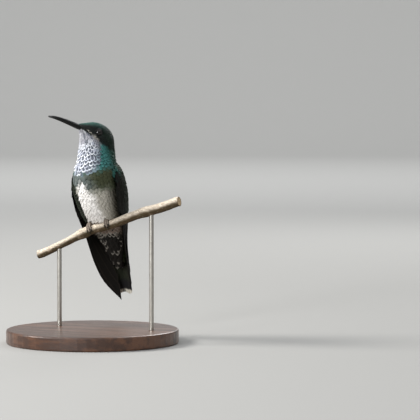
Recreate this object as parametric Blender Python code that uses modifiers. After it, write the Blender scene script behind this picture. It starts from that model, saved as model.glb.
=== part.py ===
"""A perched female jacobin hummingbird, life size, on a cut length of branch over a plain display stand.

Lengths below are in millimetres and angles in degrees; MM turns them into metres when a mesh is made.
Places on the bird are (x, forward, up): x runs to the bird's left, forward is the way its breast faces,
and all three are measured from the branch's middle between the feet. world() puts them in the model's
frame: +Z up, the breast facing -Y, the origin at the centre of the base's underside.
"""
import math

import bmesh
import bpy
import numpy as np
from mathutils import Vector

MM = 0.001
GAP = 0.3  # clearance between pieces that touch

# Display stand
BASE_RADIUS = 43.0
BASE_HEIGHT = 7.0
BASE_CHAMFER = 0.8
ROD_RADIUS = 1.15
ROD_SOCKET = 3.0  # how deep each rod sits in the base
ROD_X = (-22.0, 30.0)  # each ends just above the branch's middle
ROD_OVER_MIDDLE = 0.2

# Perch
PERCH_HEIGHT = 57.0  # of the branch's middle between the feet, above the floor
PERCH_BACK = -6.0  # forward of the base's centre is +, so the tail stays over the base
PERCH = (  # x, height of the branch's middle, its sideways waver, its radius
    (-34.0, -14.2, -0.3, 2.25),
    (-28.0, -12.1, -0.2, 2.1),
    (-22.5, -9.6, 0.0, 2.0),
    (-17.0, -7.1, 0.1, 2.0),
    (-12.5, -4.9, 0.1, 2.15),
    (-9.0, -3.2, 0.0, 2.7),
    (-7.2, -2.5, 0.0, 2.7),
    (-4.5, -1.4, 0.0, 2.4),
    (-1.0, -0.2, 0.0, 2.35),
    (5.0, 1.3, 0.0, 2.35),
    (11.5, 3.3, 0.1, 2.4),
    (17.5, 5.6, 0.2, 2.4),
    (23.0, 7.5, 0.3, 2.45),
    (27.5, 8.8, 0.4, 2.75),
    (31.0, 9.8, 0.3, 2.55),
    (38.0, 11.9, 0.0, 2.5),
    (45.0, 14.2, -0.3, 2.45),
)

# Bird
NECK_AXIS = (0.8, 1.0)  # x and forward of the upright line that the head turns about
EYE_PLACE, EYE_RADIUS = (2.4, 4.85, 47.9), 2.05  # forward and sideways in the head's frame, and up
BILL = (  # forward in the head's frame, up, depth, width
    (11.35, 50.75, 2.8, 3.05),
    (14.6, 52.1, 2.6, 2.5),
    (17.8, 53.35, 2.35, 2.1),
    (21.0, 54.5, 2.0, 1.75),
    (24.2, 55.4, 1.5, 1.3),
    (27.1, 55.9, 0.75, 0.75),
)
BILL_GAPE = 0.12  # between its halves
HEAD_TURN = 37.0  # to the bird's right
FOOT_X = (-3.4, 6.4)
TOE_RADIUS = 0.42
TOE_LEAN = -0.35  # sideways for each millimetre up, as the toes stand square to the sloping branch
ANKLE = (-0.7, -2.7, 3.1)  # from the branch's middle
SHANK_RADIUS = 0.64
CLAW_RADIUS = 0.33
CLAW_STEP, CLAW_POINTS = 0.42, 5
CLAW_HOOK = 0.55  # how much of the toe's own bend each step of the claw adds
SEAT_FROM, SEAT_TO = -16, 18  # x of the hollow that clears the body round the branch
SEAT_TOE_ROOM = 1.5

# Each cross-section of head, neck, trunk and tail coverts: its turn about the neck's axis, how far its
# middle lies to the left of that axis, its back point and its belly point, each forward of the axis
# and up, half its width, and how much its back half narrows.
BODY = (
    (HEAD_TURN, 0.0, (10.9, 52.25), (10.4, 49.2), 1.75, 0.0),  # bill base
    (HEAD_TURN, 0.0, (9.2, 52.4), (9.4, 47.5), 3.3, 0.0),  # forehead and chin
    (HEAD_TURN, 0.0, (6.3, 52.7), (9.2, 45.2), 4.9, 0.0),  # lores
    (HEAD_TURN, 0.0, (2.8, 53.0), (9.3, 42.8), 6.3, 0.0),  # eyes
    (HEAD_TURN, 0.0, (-1.0, 52.2), (9.7, 40.4), 7.1, 0.0),  # crown
    (HEAD_TURN, 0.0, (-4.9, 50.1), (10.2, 38.0), 7.5, 0.0),  # ears
    (HEAD_TURN - 1, 0.0, (-7.6, 46.2), (10.7, 35.8), 7.9, 0.0),  # back of the head
    (HEAD_TURN - 6, 0.0, (-8.4, 41.2), (11.3, 33.2), 8.4, 0.03),  # nape
    (HEAD_TURN - 16, 0.0, (-8.8, 36.4), (12.8, 29.8), 9.9, 0.08),  # neck
    (HEAD_TURN - 29, -0.2, (-10.6, 31.2), (13.5, 25.8), 11.0, 0.13),  # shoulders
    (0, -0.4, (-13.4, 25.2), (12.8, 20.4), 11.0, 0.18),  # breast
    (0, -0.5, (-16.2, 18.5), (10.2, 14.2), 10.5, 0.20),  # ribs
    (0, -0.4, (-18.6, 11.6), (6.5, 8.2), 10.0, 0.20),  # belly
    (0, -0.2, (-20.4, 4.9), (1.1, 3.0), 9.5, 0.18),  # thighs
    (0, 0.0, (-22.0, -1.5), (-5.2, -3.0), 8.0, 0.12),  # vent
    (0, 0.0, (-23.4, -8.0), (-11.4, -9.6), 6.0, 0.06),  # rump
    (0, -0.1, (-24.7, -14.3), (-17.2, -16.4), 4.3, 0.0),  # tail coverts
    (0, -0.2, (-26.0, -19.4), (-22.3, -21.6), 3.2, 0.0),  # their tips
)
HEAD_END, NECK_END, TRUNK_END, COVERTS_END = 6.3, 8.6, 14.2, len(BODY) - 1
SIDES = 24  # points round a cross-section of the body

# Each cross-section of a folded wing: its leading and trailing edge (x, forward, up), how far the
# middle bulges outwards, and its thickness. The right wing droops lower and its tip crosses the tail.
WING = {
    "left": (
        ((9.3, 4.4, 31.4), (4.4, -8.0, 34.0), 1.2, 1.2),  # wrist
        ((11.5, 5.2, 27.3), (5.0, -11.8, 29.8), 2.2, 2.4),
        ((12.7, 4.6, 21.4), (5.1, -15.0, 24.0), 2.7, 2.9),
        ((12.7, 3.2, 14.4), (4.9, -17.8, 16.6), 2.9, 3.0),
        ((11.7, -1.7, 7.0), (4.5, -19.9, 8.4), 2.2, 2.8),
        ((10.6, -6.2, -0.6), (4.2, -21.6, 0.2), 1.4, 2.4),
        ((9.5, -10.2, -8.0), (3.7, -23.2, -7.4), 0.8, 2.0),
        ((8.1, -15.2, -15.2), (4.2, -24.4, -15.0), 0.4, 1.6),
        ((6.9, -20.6, -22.8), (4.7, -25.6, -22.6), 0.3, 1.2),
        ((5.6, -26.2, -30.6), (5.2, -26.8, -30.4), 0.1, 0.8),  # tip of the longest primary
    ),
    "right": (
        ((-9.2, 4.0, 29.8), (-4.4, -8.4, 32.8), 1.6, 1.2),  # wrist
        ((-11.8, 4.6, 26.0), (-5.0, -11.8, 28.8), 2.8, 2.4),
        ((-12.7, 3.6, 20.0), (-5.2, -15.0, 22.4), 3.0, 2.9),
        ((-12.6, 2.0, 12.5), (-5.0, -18.0, 14.8), 2.8, 2.9),
        ((-11.5, -0.8, 5.0), (-4.6, -20.2, 6.6), 2.2, 2.7),
        ((-10.3, -5.0, -2.8), (-4.4, -21.8, -1.6), 1.4, 2.3),
        ((-10.0, -9.8, -11.0), (-4.4, -22.6, -10.2), 0.9, 1.9),
        ((-9.5, -14.6, -19.4), (-3.2, -22.0, -18.8), 0.5, 1.5),
        ((-7.4, -20.6, -28.8), (-1.4, -25.0, -27.8), 0.3, 1.1),
        ((-0.2, -27.4, -39.0), (-0.6, -27.7, -38.7), 0.1, 0.8),  # tip of the longest primary
    ),
}
PRIMARY_TIPS = 8  # steps along the trailing edge
STEP_DEPTH = 1.0
STEPS_FROM = 0.40  # of the wing's length
COVERTS_SHARE = 0.36  # of the wing's length, the rest being primaries
THINNEST = 0.5  # of any feathered edge

# Tail: the middle of its root and of its tip, half widths there, thicknesses, and the feathers
TAIL_ROOT, TAIL_TIP = (0.5, -24.6, -20.7), (-0.6, -29.6, -35.6)
TAIL_HALF_WIDTHS = (3.7, 5.1)
TAIL_THICKNESS = (2.0, 0.9)
TAIL_ARCH = 0.9  # rise of the middle feathers over the outer ones
RECTRICES = 10
TAIL_NOTCH = 0.04  # how much shorter the middle feathers are, as a share
TIP_ROUNDING = 0.045  # of the tail's length, between one feather's tip and the next


def spline(values, t):
    """Catmull-Rom through values, one row for each whole t."""
    rows = np.asarray(values, float)
    rows = rows.reshape(len(rows), -1)
    t = np.atleast_1d(np.asarray(t, float))
    first = np.clip(np.floor(t).astype(int), 0, len(rows) - 2)
    u = (t - first)[:, None]
    before, start = rows[np.maximum(first - 1, 0)], rows[first]
    end, after = rows[first + 1], rows[np.minimum(first + 2, len(rows) - 1)]
    curved = 2 * before - 5 * start + 4 * end - after
    return start + 0.5 * u * (end - before + u * (curved + u * (3 * (start - end) + after - before)))


def world(places):
    """Model-frame millimetres of places given as (x, forward, up)."""
    places = np.asarray(places, float)
    x, forward, up = places[..., 0], places[..., 1], places[..., 2]
    return np.stack([x, -(forward + PERCH_BACK), up + PERCH_HEIGHT], -1)


def unit(vectors):
    return vectors / np.linalg.norm(vectors, axis=-1, keepdims=True)


# ---------------------------------------------------------------- Blender helpers


def paint(name, colour, roughness, metallic=0.0):
    material = bpy.data.materials.new(name)
    material.use_nodes = True
    shader = material.node_tree.nodes["Principled BSDF"]
    shader.inputs["Base Color"].default_value = (*colour, 1.0)
    shader.inputs["Roughness"].default_value = roughness
    shader.inputs["Metallic"].default_value = metallic
    material.diffuse_color = (*colour, 1.0)
    return material


def add_object(name, mesh, material, collection):
    mesh.materials.clear()
    mesh.materials.append(material)
    obj = bpy.data.objects.new(name, mesh)
    collection.objects.link(obj)
    return obj


def loft(name, rings, material, collection):
    """A closed skin through rings of (x, forward, up) places, each ring with the same number of points."""
    mesh = bpy.data.meshes.new(name)
    form = bmesh.new()
    rows = [[form.verts.new(Vector(p) * MM) for p in world(ring)] for ring in rings]
    for row, following in zip(rows, rows[1:]):
        for i in range(len(row)):
            j = (i + 1) % len(row)
            form.faces.new((row[i], row[j], following[j], following[i]))
    form.faces.new(rows[0][::-1])
    form.faces.new(rows[-1])
    bmesh.ops.remove_doubles(form, verts=form.verts, dist=1e-6)
    bmesh.ops.recalc_face_normals(form, faces=form.faces)
    form.to_mesh(mesh)
    form.free()
    mesh.shade_smooth()
    mesh.set_sharp_from_angle(angle=math.radians(50))
    return add_object(name, mesh, material, collection)


def tube(name, places, radii, material, collection, sides=2):
    """A capped tube of varying radius, as a mesh, along (x, forward, up) places."""
    curve = bpy.data.curves.new(name, "CURVE")
    curve.dimensions = "3D"
    curve.bevel_depth = MM
    curve.bevel_resolution = sides
    curve.use_fill_caps = True
    line = curve.splines.new("POLY")
    line.points.add(len(places) - 1)
    for point, place, radius in zip(line.points, world(places) * MM, radii):
        point.co = (*place, 1.0)
        point.radius = radius
    guide = bpy.data.objects.new(name, curve)
    collection.objects.link(guide)
    bpy.context.view_layer.update()
    mesh = bpy.data.meshes.new_from_object(guide.evaluated_get(bpy.context.evaluated_depsgraph_get()))
    bpy.data.objects.remove(guide)
    form = bmesh.new()
    form.from_mesh(mesh)
    bmesh.ops.remove_doubles(form, verts=form.verts, dist=1e-6)
    bmesh.ops.recalc_face_normals(form, faces=form.faces)
    form.to_mesh(mesh)
    form.free()
    mesh.shade_smooth()
    mesh.set_sharp_from_angle(angle=math.radians(50))
    return add_object(name, mesh, material, collection)


def cylinder(name, radius, bottom, top, material, collection, sides):
    """An upright round bar between two (x, forward, up) places, one above the other."""
    low, high = world(bottom) * MM, world(top) * MM
    mesh = bpy.data.meshes.new(name)
    form = bmesh.new()
    bmesh.ops.create_cone(
        form, cap_ends=True, segments=sides, radius1=radius * MM, radius2=radius * MM, depth=high[2] - low[2]
    )
    form.to_mesh(mesh)
    form.free()
    mesh.shade_smooth()
    mesh.set_sharp_from_angle(angle=math.radians(50))
    obj = add_object(name, mesh, material, collection)
    obj.location = (low + high) / 2
    return obj


def ball(name, radius, place, material, collection, segments=20):
    mesh = bpy.data.meshes.new(name)
    form = bmesh.new()
    bmesh.ops.create_uvsphere(form, u_segments=segments, v_segments=segments // 2, radius=radius * MM)
    form.to_mesh(mesh)
    form.free()
    mesh.shade_smooth()
    obj = add_object(name, mesh, material, collection)
    obj.location = Vector(world(place)) * MM
    return obj


def boolean(obj, other, operation):
    modifier = obj.modifiers.new(f"{operation.lower()} {other.name}", "BOOLEAN")
    modifier.operation = operation
    modifier.object = other
    modifier.solver = "EXACT"


def hide(*tools):
    for tool in tools:
        tool.hide_render = True
        tool.display_type = "WIRE"


# ---------------------------------------------------------------- head, neck, trunk and tail coverts


def body_frame(t):
    """Middle, half depth, half width, narrowing and the two axes of the body's cross-section at t."""
    rows = spline([[turn, across, *back, *belly, *rest] for turn, across, back, belly, *rest in BODY], t)
    turn = np.radians(rows[:, 0])
    ahead = np.stack([-np.sin(turn), np.cos(turn), 0 * turn], 1)
    left = np.stack([np.cos(turn), np.sin(turn), 0 * turn], 1)
    up = np.array([0.0, 0.0, 1.0])
    axis = np.stack([NECK_AXIS[0] + rows[:, 1], NECK_AXIS[1] + 0 * turn, 0 * turn], 1)
    back = axis + rows[:, 2:3] * ahead + rows[:, 3:4] * up
    belly = axis + rows[:, 4:5] * ahead + rows[:, 5:6] * up
    depth = np.linalg.norm(back - belly, axis=1)
    return (back + belly) / 2, depth / 2, rows[:, 6], rows[:, 7], (back - belly) / depth[:, None], left


def body_ring(t, shift=0.0):
    """The body's cross-section at t, from the belly round by the left side, moved along the body by shift."""
    middle, deep, wide, narrowing, upwards, left = (part[0] for part in body_frame(t))
    around = np.linspace(0, 2 * math.pi, SIDES, endpoint=False)[:, None]
    sideways = wide * np.sin(around) * (1 + narrowing * np.cos(around))
    return middle - deep * np.cos(around) * upwards + sideways * left + shift * np.cross(left, upwards)


def body_piece(name, start, end, rings, material, collection):
    """One length of the body. Each end that meets a neighbour stands back half the gap."""
    sections = [body_ring(t) for t in np.linspace(start, end, rings)]
    if start > 0:
        sections[0] = body_ring(start, GAP / 2)
    if end < len(BODY) - 1:
        sections[-1] = body_ring(end, -GAP / 2)
    return loft(name, sections, material, collection)


def head_place(forward, sideways, up):
    """A place given in the turned head's frame."""
    turn = math.radians(HEAD_TURN)
    return (
        NECK_AXIS[0] - forward * math.sin(turn) + sideways * math.cos(turn),
        NECK_AXIS[1] + forward * math.cos(turn) + sideways * math.sin(turn),
        up,
    )


def eyes(head, material, collection, tools):
    forward, sideways, up = EYE_PLACE
    for side, sign in (("left", 1), ("right", -1)):
        place = head_place(forward, sign * sideways, up)
        ball(f"eye_{side}", EYE_RADIUS, place, material, collection)
        socket = ball(f"socket_{side}", EYE_RADIUS + GAP, place, material, tools, segments=16)
        boolean(head, socket, "DIFFERENCE")
        hide(socket)


def bill(material, collection):
    """The two halves of the bill: half-round sections along a gently down-curved line."""
    for name, sign, share in (("bill_upper", 1, 0.56), ("bill_lower", -1, 0.44)):
        rings = []
        for t in np.linspace(0, len(BILL) - 1, 9):
            forward, up, depth, width = spline(BILL, t)[0]
            behind, beyond = spline(BILL, [max(t - 0.1, 0), min(t + 0.1, len(BILL) - 1)])
            ahead, rise = unit(beyond[:2] - behind[:2])
            rise *= min(t, 1)  # the base stands upright against the face
            ring = []
            for angle in np.linspace(0, math.pi, 7):
                height = sign * (BILL_GAPE / 2 + (depth * share - BILL_GAPE / 2) * math.sin(angle))
                ring.append(
                    head_place(forward - rise * height, width / 2 * math.cos(angle), up + ahead * height)
                )
            rings.append(ring)
        loft(name, rings, material, collection)


# ---------------------------------------------------------------- wings


def feather_steps(share, width):
    """How much of the wing's width is left at a share of its length: a saw-tooth, one tooth to a primary."""
    if share < STEPS_FROM or share > 0.99:
        return 1.0
    tooth = (share - STEPS_FROM) / (1 - STEPS_FROM) * PRIMARY_TIPS % 1
    rounded = min(tooth / 0.85, (1 - tooth) / 0.15)
    return 1 - min(0.3, STEP_DEPTH / width) * (1 - rounded)


def wing_ring(side, share, extra=0.0):
    """One closed section of a folded wing, thickened by extra on each face."""
    lead, trail = (np.array([row[edge] for row in WING[side]]) for edge in (0, 1))
    bulge, thickness = ([row[kind] for row in WING[side]] for kind in (2, 3))
    last = len(lead) - 1
    at = share * last
    lead_at, trail_at = spline(lead, at)[0], spline(trail, at)[0]
    swell, thick = spline(bulge, at)[0, 0], spline(thickness, at)[0, 0]
    ahead = min(at + 0.05, last)
    run = (spline(lead, ahead) - spline(lead, ahead - 0.1))[0]
    outwards = unit(np.cross(trail_at - lead_at, run)) * (1 if side == "left" else -1)
    width = np.linalg.norm(trail_at - lead_at)
    outer, inner = [], []
    for v in np.linspace(0, 1, 6):
        reach = v * feather_steps(share, width)
        middle = lead_at + reach * (trail_at - lead_at) + 4 * reach * (1 - reach) * swell * outwards
        half = THINNEST / 2 + (thick - THINNEST) / 2 * min(1, 0.3 + v / 0.25) * (1 - 0.8 * v) + extra
        outer.append(middle + half * outwards)
        inner.append(middle - half * outwards)
    nose = lead_at - (thick * 0.22 + extra) * (trail_at - lead_at) / width
    return [nose, *outer, *inner[::-1]]


def wing_shares(start, end):
    """Shares of the wing's length where its sections lie: closer where the feather tips step."""
    tooth = (1 - STEPS_FROM) / PRIMARY_TIPS
    steps = [STEPS_FROM + tooth * (i + part) for i in range(PRIMARY_TIPS) for part in (0, 0.45, 0.85)]
    plain = list(np.linspace(0, STEPS_FROM - tooth / 3, 8))
    return [start, *(s for s in plain + steps if start + 0.01 < s < end - 0.01), end]


def wings(trunk_pieces, covert_material, primary_material, collection, tools):
    for side in ("left", "right"):
        seam = 0.002
        parts = (
            (f"wing_{side}_coverts", 0.0, COVERTS_SHARE - seam, covert_material),
            (f"wing_{side}_primaries", COVERTS_SHARE + seam, 1.0, primary_material),
        )
        for name, start, end, material in parts:
            loft(name, [wing_ring(side, s) for s in wing_shares(start, end)], material, collection)
        room = [wing_ring(side, s, GAP) for s in np.linspace(0, 1, 16)]
        pocket = loft(f"pocket_{side}", room, covert_material, tools)
        hide(pocket)
        for piece in trunk_pieces:
            boolean(piece, pocket, "DIFFERENCE")


# ---------------------------------------------------------------- tail


def tail(material, collection):
    """The closed tail: one arched blade whose end is cut into the rounded tips of its feathers."""
    root, tip = np.array(TAIL_ROOT), np.array(TAIL_TIP)
    run = unit(tip - root)
    sideways = np.array([1.0, 0.0, 0.0])
    backwards = unit(np.cross(sideways, run))
    backwards = backwards * -np.sign(backwards[1])
    across = np.linspace(-1, 1, 2 * RECTRICES + 1)
    feather = (across + 1) / 2 * RECTRICES % 1
    feather_end = 1 - TIP_ROUNDING * (2 * np.abs(feather - 0.5)) ** 2 - TAIL_NOTCH * (1 - across**2)
    rings = []
    for share in np.linspace(0, 1, 5):
        half_width = np.interp(share, (0, 1), TAIL_HALF_WIDTHS)
        thick = np.interp(share, (0, 1), TAIL_THICKNESS)
        length = share * feather_end * np.linalg.norm(tip - root)
        middle = root + length[:, None] * run + (half_width * across)[:, None] * sideways
        middle += (TAIL_ARCH * (1 - across**2))[:, None] * backwards
        half = (THINNEST / 2 + (thick - THINNEST) / 2 * (1 - across**2))[:, None] * backwards
        rings.append([*(middle + half), *(middle - half)[::-1]])
    loft("tail", rings, material, collection)


# ---------------------------------------------------------------- feet


def perch_row(x):
    """The branch's row at x: x, height, sideways waver and radius."""
    table = np.array(PERCH)
    return spline(table, np.interp(x, table[:, 0], np.arange(len(table))))[0]


def perch_axis(x):
    _, up, waver, _ = perch_row(x)
    return np.array([x, waver, up])


def perch_radius(x):
    return perch_row(x)[3]


def toe_path(foot_x, spread, start, sweep, rise, points):
    """Places along a toe that curls round the branch from one angle by a sweep, 0 being its top."""
    places = []
    for share in np.linspace(0, 1, points):
        x = foot_x + spread * (0.25 + 0.75 * share)
        angle = math.radians(start + sweep * share)
        reach = perch_radius(x) + GAP + TOE_RADIUS * 1.05 + rise * math.sin(math.pi * share)
        ahead, up = math.sin(angle) * reach, math.cos(angle) * reach
        places.append(perch_axis(x) + np.array([TOE_LEAN * up, ahead, up]))
    return places


TOES = (  # name, sideways spread, start angle, sweep round the branch
    ("inner", 1.0, -40, 124),
    ("middle", 0.0, -44, 146),
    ("outer", -1.0, -40, 124),
    ("hind", 0.2, -54, -92),
)


def shank(foot_x):
    """Places down the bare leg to the joint of the toes, behind the branch's top."""
    ankle = perch_axis(foot_x) + np.array(ANKLE)
    return [ankle + np.array([0, -0.2, 1.0]), ankle, ankle + np.array([0.05, 0.5, -0.5])]


def foot(side, foot_x, skin, horn, collection, tools):
    """Three toes forward over the branch and one behind, joined at the ankle, each with its own claw."""
    leg = shank(foot_x)
    thickness = [SHANK_RADIUS * scale for scale in (0.95, 1, 0.9)]
    whole = tube(f"foot_{side}", leg, thickness, skin, collection, sides=1)
    mirrored = 1 if side == "left" else -1
    for name, spread, start, sweep in TOES:
        reach = toe_path(foot_x, mirrored * spread, start, sweep, 0.22, 8)
        places = [leg[1] + np.array([0, 0.05, 0]), *reach]
        radii = [TOE_RADIUS * 1.1, *(TOE_RADIUS * (1 - 0.12 * i / len(reach)) for i in range(len(reach)))]
        toe = tube(f"toe_{side}_{name}", places, radii, skin, tools, sides=1)
        boolean(whole, toe, "UNION")
        hide(toe)
        claw(f"claw_{side}_{name}", reach, horn, collection)


def claw(name, toe, material, collection):
    """A tapered hook that carries the toe's curve on from its end, standing a gap away from it."""
    start, direction = toe[-1], unit(toe[-1] - toe[-2])
    turn = direction - unit(toe[-2] - toe[-3])
    places = [start + direction * GAP]
    while len(places) < CLAW_POINTS:
        direction = unit(direction + CLAW_HOOK * turn)
        places.append(places[-1] + CLAW_STEP * direction)
    radii = [CLAW_RADIUS * (1 - 0.85 * i / CLAW_POINTS) for i in range(CLAW_POINTS)]
    tube(name, places, radii, material, collection, sides=1)


def feet(skin, horn, collection, tools):
    for side, x in zip(("right", "left"), FOOT_X):
        foot(side, x, skin, horn, collection, tools)


# ---------------------------------------------------------------- perch and stand


def perch(material, collection):
    along = np.linspace(PERCH[0][0], PERCH[-1][0], 33)
    radii = [perch_radius(x) for x in along]
    return tube("perch", [perch_axis(x) for x in along], radii, material, collection, 3)


def seat(pieces, material, tools):
    """Clears the bird's body round the branch, with room for the toes, and round the legs."""
    along = np.arange(SEAT_FROM, SEAT_TO)
    near_foot = [max(math.exp(-(((x - foot_x) / 2.2) ** 4)) for foot_x in FOOT_X) for x in along]
    radii = [perch_radius(x) + GAP + SEAT_TOE_ROOM * near for x, near in zip(along, near_foot)]
    spaces = [tube("seat", [perch_axis(x) for x in along], radii, material, tools, 3)]
    for foot_x in FOOT_X:
        spaces.append(tube("leg_room", shank(foot_x), [SHANK_RADIUS + GAP] * 3, material, tools))
    hide(*spaces)
    for piece in pieces:
        for space in spaces:
            boolean(piece, space, "DIFFERENCE")


def stand(branch, base_material, rod_material, collection, tools):
    """A round base and two upright rods, let into sockets in the base and in the branch's underside."""
    underside = np.array([0, -PERCH_BACK, -PERCH_HEIGHT])
    top = underside + np.array([0, 0, BASE_HEIGHT])
    base = cylinder("stand_base", BASE_RADIUS, underside, top, base_material, collection, 60)
    edge = base.modifiers.new("edge", "BEVEL")
    edge.width = BASE_CHAMFER * MM
    edge.segments = 2
    edge.limit_method = "ANGLE"
    for side, x in zip(("right", "left"), ROD_X):
        _, forward, middle = perch_axis(x)
        low = np.array([x, forward, top[2] - ROD_SOCKET])
        high = np.array([x, forward, middle + ROD_OVER_MIDDLE])
        cylinder(f"stand_rod_{side}", ROD_RADIUS, low, high, rod_material, collection, 20)
        space = np.array([0, 0, GAP])
        bore = cylinder(f"bore_{side}", ROD_RADIUS + GAP, low - space, high + space, rod_material, tools, 20)
        boolean(base, bore, "DIFFERENCE")
        boolean(branch, bore, "DIFFERENCE")
        hide(bore)


# ---------------------------------------------------------------- the whole


def clear_scene():
    for obj in list(bpy.data.objects):
        bpy.data.objects.remove(obj)


def new_collection(name):
    collection = bpy.data.collections.new(name)
    bpy.context.scene.collection.children.link(collection)
    return collection


def main():
    clear_scene()
    bird, tools = new_collection("hummingbird"), new_collection("tools")
    crown = paint("crown_feathers", (0.03, 0.07, 0.07), 0.45, 0.3)
    nape = paint("neck_feathers", (0.06, 0.22, 0.20), 0.4, 0.4)
    belly = paint("belly_feathers", (0.52, 0.48, 0.45), 0.85)
    coverts = paint("undertail_feathers", (0.05, 0.045, 0.045), 0.7)
    wing = paint("wing_feathers", (0.02, 0.018, 0.018), 0.5)
    horn = paint("bill_horn", (0.012, 0.012, 0.012), 0.35)
    eye = paint("eye", (0.008, 0.006, 0.005), 0.05)
    skin = paint("foot_skin", (0.07, 0.06, 0.055), 0.6)
    bark = paint("bark", (0.42, 0.32, 0.24), 0.85)
    wood = paint("stand_wood", (0.10, 0.055, 0.035), 0.4)
    brass = paint("stand_metal", (0.62, 0.60, 0.56), 0.25, 1.0)

    head = body_piece("head", 0, HEAD_END, 16, crown, bird)
    neck = body_piece("neck", HEAD_END, NECK_END, 6, nape, bird)
    trunk = body_piece("trunk", NECK_END, TRUNK_END, 13, belly, bird)
    vent = body_piece("tail_coverts", TRUNK_END, COVERTS_END, 8, coverts, bird)
    eyes(head, eye, bird, tools)
    bill(horn, bird)
    wings([neck, trunk, vent], nape, wing, bird, tools)
    tail(wing, bird)
    feet(skin, horn, bird, tools)
    branch = perch(bark, bird)
    seat([trunk, vent], bark, tools)
    stand(branch, wood, brass, bird, tools)


main()
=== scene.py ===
"""The looks of a perched female white-necked jacobin on its display stand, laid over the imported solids.

Places on the bird are millimetres (x, forward, up), as in the solids: x runs to its left, forward is the way
its breast faces, and all are measured from the branch's middle between the feet. world() puts them in the
frame. A place on the body is told by t, from 0 at the bill's base to 17 at the tips of the tail coverts, and
by the angle round it from the belly by the bird's left side, in radians. A place on a wing is told by its
share of the wing's length and its reach, from 0 at the leading edge to 1 at the trailing edge.
"""
import functools
import math

import bmesh
import bpy
import numpy as np
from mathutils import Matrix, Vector, noise
from mathutils.bvhtree import BVHTree

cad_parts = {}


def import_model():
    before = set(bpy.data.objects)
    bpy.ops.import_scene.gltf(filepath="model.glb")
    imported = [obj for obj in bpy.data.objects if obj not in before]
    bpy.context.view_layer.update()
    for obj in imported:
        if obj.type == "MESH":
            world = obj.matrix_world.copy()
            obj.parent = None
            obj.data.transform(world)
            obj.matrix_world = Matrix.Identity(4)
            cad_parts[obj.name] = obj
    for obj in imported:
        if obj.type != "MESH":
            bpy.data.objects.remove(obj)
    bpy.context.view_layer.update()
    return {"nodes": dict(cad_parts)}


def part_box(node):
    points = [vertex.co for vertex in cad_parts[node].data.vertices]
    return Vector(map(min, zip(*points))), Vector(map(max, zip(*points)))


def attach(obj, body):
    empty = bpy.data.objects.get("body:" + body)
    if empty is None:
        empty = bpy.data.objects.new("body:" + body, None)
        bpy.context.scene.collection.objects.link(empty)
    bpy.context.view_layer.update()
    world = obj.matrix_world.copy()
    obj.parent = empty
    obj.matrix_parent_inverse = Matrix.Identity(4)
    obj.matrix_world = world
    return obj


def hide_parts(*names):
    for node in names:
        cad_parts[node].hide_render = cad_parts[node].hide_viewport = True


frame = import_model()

MM = 0.001
FULL_TURN = 2 * math.pi
SIDES = ("left", "right")
SIGN = {"left": 1, "right": -1}
UP = np.array((0.0, 0.0, 1.0))
FEET = np.array((0.0, 6.0, 57.0))  # the branch's middle between the feet, in the frame's millimetres
TO_FRAME = np.array((1, -1, 1))  # forward on the bird is -Y in the frame

# The solids' own sections, repeated here: turn, across, back point, belly point, half width, narrowing
HEAD_TURN = 37.0
NECK_AXIS = (0.8, 1.0)
BODY = (
    (HEAD_TURN, 0.0, 10.9, 52.25, 10.4, 49.2, 1.75, 0.0),  # bill base
    (HEAD_TURN, 0.0, 9.2, 52.4, 9.4, 47.5, 3.3, 0.0),  # forehead and chin
    (HEAD_TURN, 0.0, 6.3, 52.7, 9.2, 45.2, 4.9, 0.0),  # lores
    (HEAD_TURN, 0.0, 2.8, 53.0, 9.3, 42.8, 6.3, 0.0),  # eyes
    (HEAD_TURN, 0.0, -1.0, 52.2, 9.7, 40.4, 7.1, 0.0),  # crown
    (HEAD_TURN, 0.0, -4.9, 50.1, 10.2, 38.0, 7.5, 0.0),  # ears
    (HEAD_TURN - 1, 0.0, -7.6, 46.2, 10.7, 35.8, 7.9, 0.0),  # back of the head
    (HEAD_TURN - 6, 0.0, -8.4, 41.2, 11.3, 33.2, 8.4, 0.03),  # nape
    (HEAD_TURN - 16, 0.0, -8.8, 36.4, 12.8, 29.8, 9.9, 0.08),  # neck
    (HEAD_TURN - 29, -0.2, -10.6, 31.2, 13.5, 25.8, 11.0, 0.13),  # shoulders
    (0, -0.4, -13.4, 25.2, 12.8, 20.4, 11.0, 0.18),  # breast
    (0, -0.5, -16.2, 18.5, 10.2, 14.2, 10.5, 0.20),  # ribs
    (0, -0.4, -18.6, 11.6, 6.5, 8.2, 10.0, 0.20),  # belly
    (0, -0.2, -20.4, 4.9, 1.1, 3.0, 9.5, 0.18),  # thighs
    (0, 0.0, -22.0, -1.5, -5.2, -3.0, 8.0, 0.12),  # vent
    (0, 0.0, -23.4, -8.0, -11.4, -9.6, 6.0, 0.06),  # rump
    (0, -0.1, -24.7, -14.3, -17.2, -16.4, 4.3, 0.0),  # tail coverts
    (0, -0.2, -26.0, -19.4, -22.3, -21.6, 3.2, 0.0),  # their tips
)
BODY_END = len(BODY) - 1

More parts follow.
